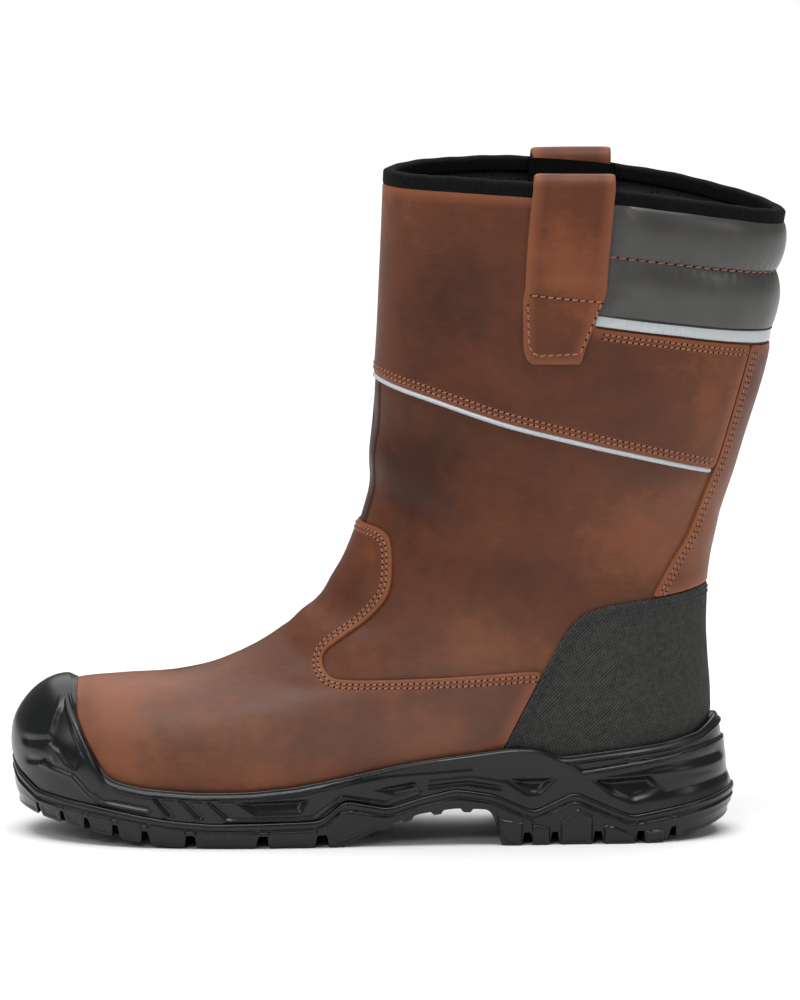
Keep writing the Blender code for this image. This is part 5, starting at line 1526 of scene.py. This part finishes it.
# Raised faces of the heel's lugs, in side view
LUG_FACES = [
    [Point(41.0, -9.0), Point(41.0, 12.0), Point(51.6, 10.0), Point(51.6, -9.0)],
    [Point(55.4, -9.0), Point(55.4, 9.6), Point(63.4, 7.4), Point(63.4, -9.0)],
    [Point(67.2, -9.0), Point(67.2, 9.4), Point(74.6, 15.6), Point(81.4, 12.6), Point(81.4, -9.0)],
    [Point(85.8, -9.0), Point(85.8, 8.4), Point(90.0, 8.0), Point(99.2, 3.8), Point(99.2, -9.0)],
    [Point(103.2, -9.0), Point(103.2, 5.6), Point(111.8, 6.4), Point(111.8, -9.0)],
]
LUG_FACE_RISE, LUG_FACE_SOFT = 1.3, 0.9
WAIST_BARS = (-6.0, 3.0, 15.5, 28.0)
WAIST_BAR_DROP, WAIST_BAR_WIDTH = 1.7, 4.2
PANEL_INSET, PANEL_FOOT, PANEL_HEAD, PANEL_SOFT = 0.4, 0.9, 0.6, 0.8
TREAD_MIDDLE = (-128.0, 98.0)


def sole_readings(turns):
    """Underside, lip and flare of the sole at each column round it."""
    x = bare_last(0.0, turns)[:, 0]
    return [smoothed(np.interp(x, SOLE_ROWS[:, 0], SOLE_ROWS[:, column])) for column in (1, 2, 3)]


def smoothed(values, rounds=14):
    """Closed line of values with its corners eased."""
    for _ in range(rounds):
        values = 0.25 * np.roll(values, 1) + 0.5 * values + 0.25 * np.roll(values, -1)
    return values


def plan_ring(turns, distance, height):
    """Loop of the sole's outline, moved out from the feather edge in plan."""
    around = bare_last(0.0, turns + PROBE) - bare_last(0.0, turns - PROBE)
    out = unit(np.stack((around[:, 1], -around[:, 0], np.zeros(len(turns))), axis=-1))
    foot = bare_last(0.0, turns) + out * np.broadcast_to(distance, turns.shape)[:, None]
    foot[:, 2] = height
    return foot


def inward_plans(edge, middle_run, shares):
    """Loops in plan on the way from an edge to a run of the foot's middle line."""
    middle_x = np.clip(edge[:, 0], *middle_run)
    middle = np.stack((middle_x, soft_along(FOOT_CURVE, middle_x)), axis=-1)
    return [edge[:, :2] + (middle - edge[:, :2]) * share for share in shares]


def tray_height(underside, lip):
    """Height of the tread's inside, which the cup sits on."""
    floor = underside + TRAY_THICK
    return np.minimum(floor + TRAY_SHARE * np.maximum(0.0, lip - floor - TRAY_SLACK), lip - LIP_DEPTH)


def ladder_faces(first, count, flip):
    """Faces across a loop, from the boot's outer side to its inner side."""
    half = count // 2
    faces = [(first, first + 1, first + count - 1)]
    for index in range(1, half - 1):
        faces.append((first + index, first + index + 1, first + count - index - 1, first + count - index))
    faces.append((first + half - 1, first + half, first + half + 1))
    return [tuple(reversed(face)) for face in faces] if flip else faces


def ring_piece(name, rings, material, smooth=SMOOTH_DEGREES):
    """Closed piece through loops of points from its inside floor, over its rim, to its underside."""
    count = len(rings[0])
    faces = [tuple(reversed(face)) for face in ring_faces(len(rings), count, tube=False)]
    faces += ladder_faces(0, count, flip=False)
    faces += ladder_faces((len(rings) - 1) * count, count, flip=True)
    return add_mesh(name, np.vstack(rings), faces, material, smooth=smooth)


def cup_relief(points):
    """Height that the cup's ribs, dents and panels add to its side."""
    x, z = points[..., 0], points[..., 2]
    height = np.zeros(x.shape)
    for dent in CUP_DENTS:
        outline = np.array(dent.outline)
        depth = np.interp(z, (outline[:, 1].min(), outline[:, 1].max()), (dent.foot, dent.depth))
        height -= depth * ease(outline_depth(outline, x, z) / dent.soft)
    for ridge in CUP_RIDGES:
        height += ridge.height * np.exp(-(line_distance(ridge.line, x, z) / ridge.width) ** 2)
    return height


class BOOT_OT_midsole(bpy.types.Operator):
    """Moulded cup with its toe cap, beaded rim, ribs and heel panel"""

    bl_idname = "boot.midsole"
    bl_label = "Midsole"

    def execute(self, context):
        turns = closed_turns(960)
        underside, lip, flare = sole_readings(turns)
        rim_area = np.array(CUP_RIM_LINE + [Point(-300.0, 90.0), Point(-300.0, -40.0), Point(150.0, -40.0)])
        rim = smoothed(level_where(turns, lambda x, z: outline_depth(rim_area, x, z) > 0.0))
        rim_place = bare_last(rim, turns)
        cap = ease((CAP_START_X - rim_place[:, 0]) / CAP_BLEND)
        reach = np.linalg.norm(bare_last(rim + 0.05, turns) - bare_last(rim - 0.05, turns), axis=-1) / 0.1
        rings = [plan_ring(turns, CUP_CLEARANCE, bare_last(0.0, turns)[:, 2] - 0.3)]
        for share in (0.2, 0.4, 0.6, 0.8):
            rings.append(self.wall(rim * share, turns, CUP_CLEARANCE))
        inside = CUP_CLEARANCE - CAP_TUCK * cap
        rings.append(self.wall(rim, turns, inside))
        edge = CUP_FACE - inside - CAP_THIN * cap + 0.1 * flare
        edge -= np.interp(rim_place[:, 0], RIM_BEADS[:, 0], RIM_BEADS[:, 4])
        for share, up in RIM_TURN:
            rings.append(self.wall(np.minimum(rim + up / reach, TOP), turns, inside + share * edge))
        place, out, lengths = self.face(turns, rim, lip, flare, cap)
        rows = np.concatenate((np.linspace(0.0, 1.0, RIM_STEPS), np.linspace(1.0, 2.0, 62)[1:]))
        for row in rows:
            below = RIM_BAND * min(row, 1.0) + (lengths[-1] - RIM_BAND) * max(row - 1.0, 0.0)
            point, way = self.read_face(place, out, lengths, below)
            centre, width, stand, flange, groove = (
                np.interp(point[:, 0], RIM_BEADS[:, 0], RIM_BEADS[:, column]) for column in (1, 2, 3, 4, 5))
            shown = ease((BEAD_END_Z - point[:, 2]) / BEAD_FADE)
            bead = shown * stand * np.exp(-((below - centre) / width) ** 2)
            bead -= flange * ease((centre - 0.5 * width - below) / width + 0.5)
            bead -= shown * groove * np.exp(-((below - centre - 1.7 * width) / (0.6 * width)) ** 2)
            height = bead + cup_relief(point) * ease((below - centre) / 1.2)
            rings.append(point + way * height[:, None])
        rings.append(plan_ring(turns, LIP_IN - 0.3 + flare, lip + 0.3))
        rings.append(plan_ring(turns, LIP_IN - 0.3 + flare, tray_height(underside, lip) + 0.3))
        rubber = material_for("moulded_polyurethane", moulded_rubber, context.scene.boot_colours.moulding)
        place_piece(ring_piece("midsole", rings, rubber, smooth=55.0), "moulded_sole", "midsole")
        return {"FINISHED"}

    def face(self, turns, rim, lip, flare, cap):
        """Plain outer face of the cup as lines of points from its rim to the tread's lip, with the way
        out of it and the length along each line."""
        low = self.lip_level(turns, lip + LIP_REVEAL)
        points, ways = [], []
        for share in np.linspace(0.0, 1.0, 41):
            level = rim + (low - rim) * share
            down = np.linalg.norm(bare_last(level, turns) - bare_last(rim, turns), axis=-1)
            distance = CUP_FACE + CUP_SWELL * share + (0.1 + 0.6 * share) * flare
            distance = distance - CAP_THIN * cap * np.exp(-down / CAP_THIN_REACH)
            points.append(self.wall(level, turns, distance))
            ways.append(outward(level, turns))
        foot = plan_ring(turns, SIDE_OUT + flare, lip + 0.3)
        plan_out = unit(foot - plan_ring(turns, 0.0, lip + 0.3))
        end, way = points[-1], ways[-1]
        for share in np.linspace(0.0, 1.0, 25)[1:]:
            points.append(end + (foot - end) * share)
            ways.append(unit(way + (plan_out - way) * ease(3.0 * share)))
        points = np.stack(points)
        steps = np.linalg.norm(np.diff(points, axis=0), axis=-1)
        return points, np.stack(ways), np.vstack((np.zeros(len(turns)), np.cumsum(steps, axis=0)))

    def read_face(self, points, ways, lengths, below):
        """Points of the face at a distance below the rim, and the way out there."""
        columns = np.arange(points.shape[1])
        row = np.clip((lengths < below).sum(axis=0), 1, len(lengths) - 1)
        start, end = lengths[row - 1, columns], lengths[row, columns]
        share = ((below - start) / np.maximum(end - start, 1e-6))[:, None]
        place, out = (
            grid[row - 1, columns] * (1.0 - share) + grid[row, columns] * share for grid in (points, ways))
        return place, unit(out)

    def lip_level(self, turns, height):
        """Level of the last at a height of its own in each column."""
        return bisected(
            np.zeros(len(turns)), np.full(len(turns), CUP_TOP_LEVEL),
            lambda level: bare_last(level, turns)[:, 2] < height)

    def wall(self, level, turns, distance):
        """Loop of the cup's wall at a distance from the last."""
        reach = np.broadcast_to(distance, turns.shape)[:, None]
        return bare_last(level, turns) + outward(level, turns) * reach


def groove_mask(x, y):
    """How far a place of the tread lies in a groove, 0 on a lug and 1 in a groove's floor."""
    reach = np.abs(y - soft_along(FOOT_CURVE, x))
    edge = plan_ring(np.linspace(0.0, np.pi, 200), TREAD_DRAFT, 0.0)
    edge_reach = np.abs(edge[:, 1] - soft_along(FOOT_CURVE, edge[:, 0]))
    mask = np.zeros(x.shape)
    for groove in GROOVES:
        at_edge = np.interp(groove.x, edge[:, 0], edge_reach)
        lean = math.tan(math.radians(groove.slant)) * (reach - at_edge)
        off = 0.5 * groove.width - np.abs(x - groove.x - lean) * math.cos(math.radians(groove.slant))
        inner = min(GROOVE_INNER, at_edge - GROOVE_BITE)
        mask = np.maximum(mask, ease(off / GROOVE_SOFT + 0.5) * ease((reach - inner) / 2.0))
    return mask * ease((GROOVE_END_X - x) / 3.0)


class BOOT_OT_outsole(bpy.types.Operator):
    """Rubber tread with its lip, side lugs, waist bars and grooves"""

    bl_idname = "boot.outsole"
    bl_label = "Outsole"

    def execute(self, context):
        turns = closed_turns(1200)
        underside, lip, flare = sole_readings(turns)
        tray = tray_height(underside, lip)
        edge = plan_ring(turns, TREAD_DRAFT + flare, underside)
        groove = groove_mask(edge[:, 0], edge[:, 1])
        foot = underside + GROOVE_DEPTH * groove - self.bars(edge[:, 0])
        rings = [plan_ring(turns, LIP_IN + flare, tray), plan_ring(turns, LIP_IN + flare, lip - 0.3)]
        for distance, drop in LIP_TURN:
            rings.append(plan_ring(turns, distance + flare, lip - drop))
        top = lip - 1.2
        for share in np.linspace(0.0, 1.0, 36):
            height = top + (foot - top) * share
            raised = np.zeros(len(turns))
            for face in LUG_FACES:
                depth = outline_depth(np.array(face), edge[:, 0], height)
                raised = np.maximum(raised, LUG_FACE_RISE * ease(depth / LUG_FACE_SOFT))
            side = self.side(height, underside, lip, groove) + np.minimum(raised, 2.0 * (top - height))
            rings.append(plan_ring(turns, side + flare, height))
        rings += self.tread(turns, underside, flare)
        rubber = material_for("moulded_tread_rubber", moulded_rubber, context.scene.boot_colours.moulding)
        place_piece(ring_piece("outsole", rings, rubber, smooth=50.0), "tread_rubber", "outsole")
        return {"FINISHED"}

    def bars(self, x):
        """How far the waist's cross bars stand below its underside."""
        drop = np.zeros(x.shape)
        for bar in WAIST_BARS:
            off = 0.5 * WAIST_BAR_WIDTH - np.abs(x - bar)
            drop = np.maximum(drop, WAIST_BAR_DROP * ease(off / 1.2 + 0.5))
        return drop

    def side(self, height, underside, lip, groove):
        """Distance of the tread's side from the feather edge at a height."""
        tall = np.maximum(lip - underside, 1.0)
        share = (height - underside) / tall
        edge_share = np.maximum(1.0 - LIP_EDGE / tall, SIDE_BREAK + 0.05)
        out = np.where(share < SIDE_BREAK, TREAD_DRAFT + (SIDE_OUT - TREAD_DRAFT) * share / SIDE_BREAK,
                       SIDE_OUT + (LIP_OUT - SIDE_OUT) * (share - SIDE_BREAK) / (edge_share - SIDE_BREAK))
        out = np.minimum(out, LIP_OUT)
        from_lip = lip - height
        for line in LIP_LINES:
            out = out + line.rise * np.exp(-((from_lip - line.below) / line.width) ** 2)
        up = height - underside
        lug = ease((up - PANEL_FOOT) / PANEL_SOFT) * ease((GROOVE_DEPTH - PANEL_HEAD - up) / PANEL_SOFT)
        clear = groove
        for shift in (2, 4, -2, -4):
            clear = np.maximum(clear, np.roll(groove, shift))
        standing = ease((underside.max() - underside) / 0.5) * (lip - underside > GROOVE_DEPTH + 4.0)
        return out - PANEL_INSET * lug * (1.0 - clear) * standing

    def tread(self, turns, underside, flare):
        """Loops over the underside, from its edge to the middle of the sole."""
        edge = plan_ring(turns, TREAD_DRAFT + flare, underside)
        rings = []
        for plan in inward_plans(edge, TREAD_MIDDLE, np.linspace(0.0, 0.985, 30)[1:]):
            base = np.interp(plan[:, 0], SOLE_ROWS[:, 0], SOLE_ROWS[:, 1])
            off = np.abs(np.abs(plan[:, 1] - soft_along(FOOT_CURVE, plan[:, 0])) - SPINE_Y)
            spine = ease((0.5 * SPINE_WIDTH - off) / GROOVE_SOFT + 0.5)
            held = sum(ease((plan[:, 0] - start) / SPINE_FADE) * ease((end - plan[:, 0]) / SPINE_FADE)
                       for start, end in SPINE_RUNS)
            cut = np.maximum(GROOVE_DEPTH * groove_mask(plan[:, 0], plan[:, 1]), SPINE_DEPTH * spine * held)
            height = np.maximum(base + cut - self.bars(plan[:, 0]), 0.0)
            rings.append(np.column_stack((plan, height)))
        return rings


INSOLE_MARGIN, INSOLE_THICK, INSOLE_CROWN = 3.6, 4.0, 0.6
INSOLE_MIDDLE = (-118.0, 96.0)


class BOOT_OT_insole(bpy.types.Operator):
    """Needled footbed on the floor of the boot"""

    bl_idname = "boot.insole"
    bl_label = "Insole"

    def execute(self, context):
        turns = closed_turns(240)
        bed = bare_last(0.0, turns)[:, 2]
        rings = [plan_ring(turns, -INSOLE_MARGIN, bed + up) for up in (0.02, INSOLE_THICK - 1.0)]
        rings.append(plan_ring(turns, -INSOLE_MARGIN - 0.3, bed + INSOLE_THICK - 0.3))
        edge = plan_ring(turns, -INSOLE_MARGIN - 1.0, bed + INSOLE_THICK)
        shares = np.linspace(0.0, 0.97, 16)
        for share, plan in zip(shares, inward_plans(edge, INSOLE_MIDDLE, shares)):
            lift = INSOLE_THICK + INSOLE_CROWN * (1.0 - share) * share
            rings.append(np.column_stack((plan, LAST[0].front_z + soft_along(FOOT_BED, plan[:, 0]) + lift)))
        felt = material_for("needled_felt", needled_felt, context.scene.boot_colours.lining)
        place_piece(ring_piece("insole", rings[::-1], felt), "insole_felt", "insole")
        return {"FINISHED"}


# Camera of the photograph: degrees round and above the boot, metres away, and its frame in pixels
CAMERA_TURN, CAMERA_RISE, CAMERA_DISTANCE, CAMERA_AIM_Z = -0.5, 8.5, 7.0, 140.0
PHOTO_WIDTH, PHOTO_HEIGHT, PIXELS_PER_MM, AIM_BELOW_CENTRE = 800, 1000, 2.354, 4.0
SENSOR = 36.0
# Studio, metres: a wide floor, a lit wall far behind it, a light bank overhead and three soft boxes
FLOOR_SIZE, WORLD_STRENGTH = 60.0, 0.20
BACKDROP_Y, BACKDROP_WIDTH, BACKDROP_HEIGHT, BACKDROP_GLOW = 18.0, 54.0, 14.0, 1.0
Light = namedtuple("Light", "name place aim size watts")
LIGHTS = [
    Light("overhead_bank", (0.0, 1.5, 2.3), (0.0, 1.5, 0.0), (3.2, 5.4), 97.0),
    Light("strip_light", (-0.1, -0.45, 1.6), (0.0, 0.0, 0.1), (1.5, 0.3), 13.0),
    Light("left_soft_box", (-1.8, -0.7, 1.3), (0.0, 0.0, 0.1), (0.4, 0.8), 4.4),
    Light("front_soft_box", (-0.8, -2.5, 1.75), (0.0, 0.0, 0.14), (1.5, 0.7), 13.0),
    Light("right_soft_box", (1.9, -0.9, 0.9), (0.0, 0.0, 0.14), (0.3, 0.9), 3.4),
]


class BOOT_OT_stage(bpy.types.Operator):
    """Pale floor, soft studio light and the camera"""

    bl_idname = "boot.stage"
    bl_label = "Stage"

    def execute(self, context):
        deselect()
        bpy.ops.mesh.primitive_plane_add(size=FLOOR_SIZE)
        floor = context.object
        floor.name = "floor"
        bpy.ops.object.transform_apply(location=True, rotation=True, scale=True)
        material, shader = new_material("matt_floor")
        fill(material, shader, {"Base Color": context.scene.boot_colours.floor, "Roughness": 0.9})
        floor.data.materials.append(material)
        for light in LIGHTS:
            self.add_light(light)
        self.add_backdrop(context)
        self.add_camera(context)
        self.set_world(context)
        return {"FINISHED"}

    def add_light(self, light):
        """Soft box that looks at the boot."""
        place = Vector(light.place)
        aim = Vector(light.aim) - place
        turn = aim.to_track_quat("-Z", "Y").to_euler()
        bpy.ops.object.light_add(type="AREA", location=place, rotation=turn)
        lamp = bpy.context.object
        lamp.name = light.name
        lamp.data.shape = "RECTANGLE"
        lamp.data.size, lamp.data.size_y = light.size
        lamp.data.energy = light.watts

    def add_camera(self, context):
        """Camera at the photograph's angle, on a long lens."""
        turn, rise = math.radians(CAMERA_TURN), math.radians(CAMERA_RISE)
        look = Vector((-math.sin(turn) * math.cos(rise), math.cos(turn) * math.cos(rise), -math.sin(rise)))
        aim = Vector((FRAME_SHIFT + np.array((0.0, 0.0, CAMERA_AIM_Z))).tolist()) * MM
        place = aim - look * CAMERA_DISTANCE
        bpy.ops.object.camera_add(location=place, rotation=look.to_track_quat("-Z", "Y").to_euler())
        camera = context.object
        camera.data.sensor_fit = "VERTICAL"
        camera.data.sensor_height = SENSOR
        camera.data.sensor_width = SENSOR * PHOTO_WIDTH / PHOTO_HEIGHT
        view_height = PHOTO_HEIGHT / PIXELS_PER_MM * MM
        camera.data.lens = SENSOR * CAMERA_DISTANCE / view_height
        camera.data.shift_y = AIM_BELOW_CENTRE / PHOTO_HEIGHT
        context.scene.camera = camera

    def add_backdrop(self, context):
        """Light wall behind the boot, which glows evenly as a lit studio wall does."""
        deselect()
        bpy.ops.mesh.primitive_plane_add(size=1.0, location=(0.0, BACKDROP_Y, 0.5 * BACKDROP_HEIGHT))
        wall = context.object
        wall.name = "backdrop"
        wall.scale = (BACKDROP_WIDTH, BACKDROP_HEIGHT, 1.0)
        wall.rotation_euler = (math.radians(90.0), 0.0, 0.0)
        wall.visible_glossy = False
        bpy.ops.object.transform_apply(location=True, rotation=True, scale=True)
        material, shader = new_material("lit_studio_wall")
        fill(material, shader, {
            "Base Color": (1.0, 1.0, 1.0, 1.0), "Emission Color": (1.0, 1.0, 1.0, 1.0),
            "Emission Strength": BACKDROP_GLOW})
        wall.data.materials.append(material)

    def set_world(self, context):
        """Even, dim surroundings, so that the soft boxes shape the boot."""
        world = bpy.data.worlds.new("studio")
        world.use_nodes = True
        background = world.node_tree.nodes["Background"]
        background.inputs["Color"].default_value = (1.0, 1.0, 1.0, 1.0)
        background.inputs["Strength"].default_value = WORLD_STRENGTH
        context.scene.world = world
        context.scene.view_settings.view_transform = "Standard"


OPERATORS = (
    BOOT_OT_overlays, BOOT_OT_upper, BOOT_OT_collar, BOOT_OT_tapes, BOOT_OT_pull_loops, BOOT_OT_stitching,
    BOOT_OT_midsole, BOOT_OT_outsole, BOOT_OT_insole, BOOT_OT_stage,
)


class BOOT_PT_panel(bpy.types.Panel):
    """Lists the boot's pieces, sizes and colours"""

    bl_idname = "BOOT_PT_panel"
    bl_label = "Safety boot"
    bl_space_type = "VIEW_3D"
    bl_region_type = "UI"
    bl_category = "Boot"

    def draw(self, context):
        layout = self.layout
        for operator in OPERATORS:
            layout.operator(operator.bl_idname)
        for group in (context.scene.boot_sizes, context.scene.boot_colours):
            box = layout.box()
            for key in group.bl_rna.properties.keys():
                if key not in ("rna_type", "name"):
                    box.prop(group, key)


CLASSES = (BootSizes, BootColours, *OPERATORS, BOOT_PT_panel)


def register():
    for item in CLASSES:
        bpy.utils.register_class(item)
    bpy.types.Scene.boot_sizes = bpy.props.PointerProperty(type=BootSizes)
    bpy.types.Scene.boot_colours = bpy.props.PointerProperty(type=BootColours)


def unregister():
    del bpy.types.Scene.boot_colours
    del bpy.types.Scene.boot_sizes
    for item in reversed(CLASSES):
        bpy.utils.unregister_class(item)


def main():
    register()
    for operator in OPERATORS:
        group, name = operator.bl_idname.split(".")
        getattr(getattr(bpy.ops, group), name)()


if __name__ == "__main__":
    main()
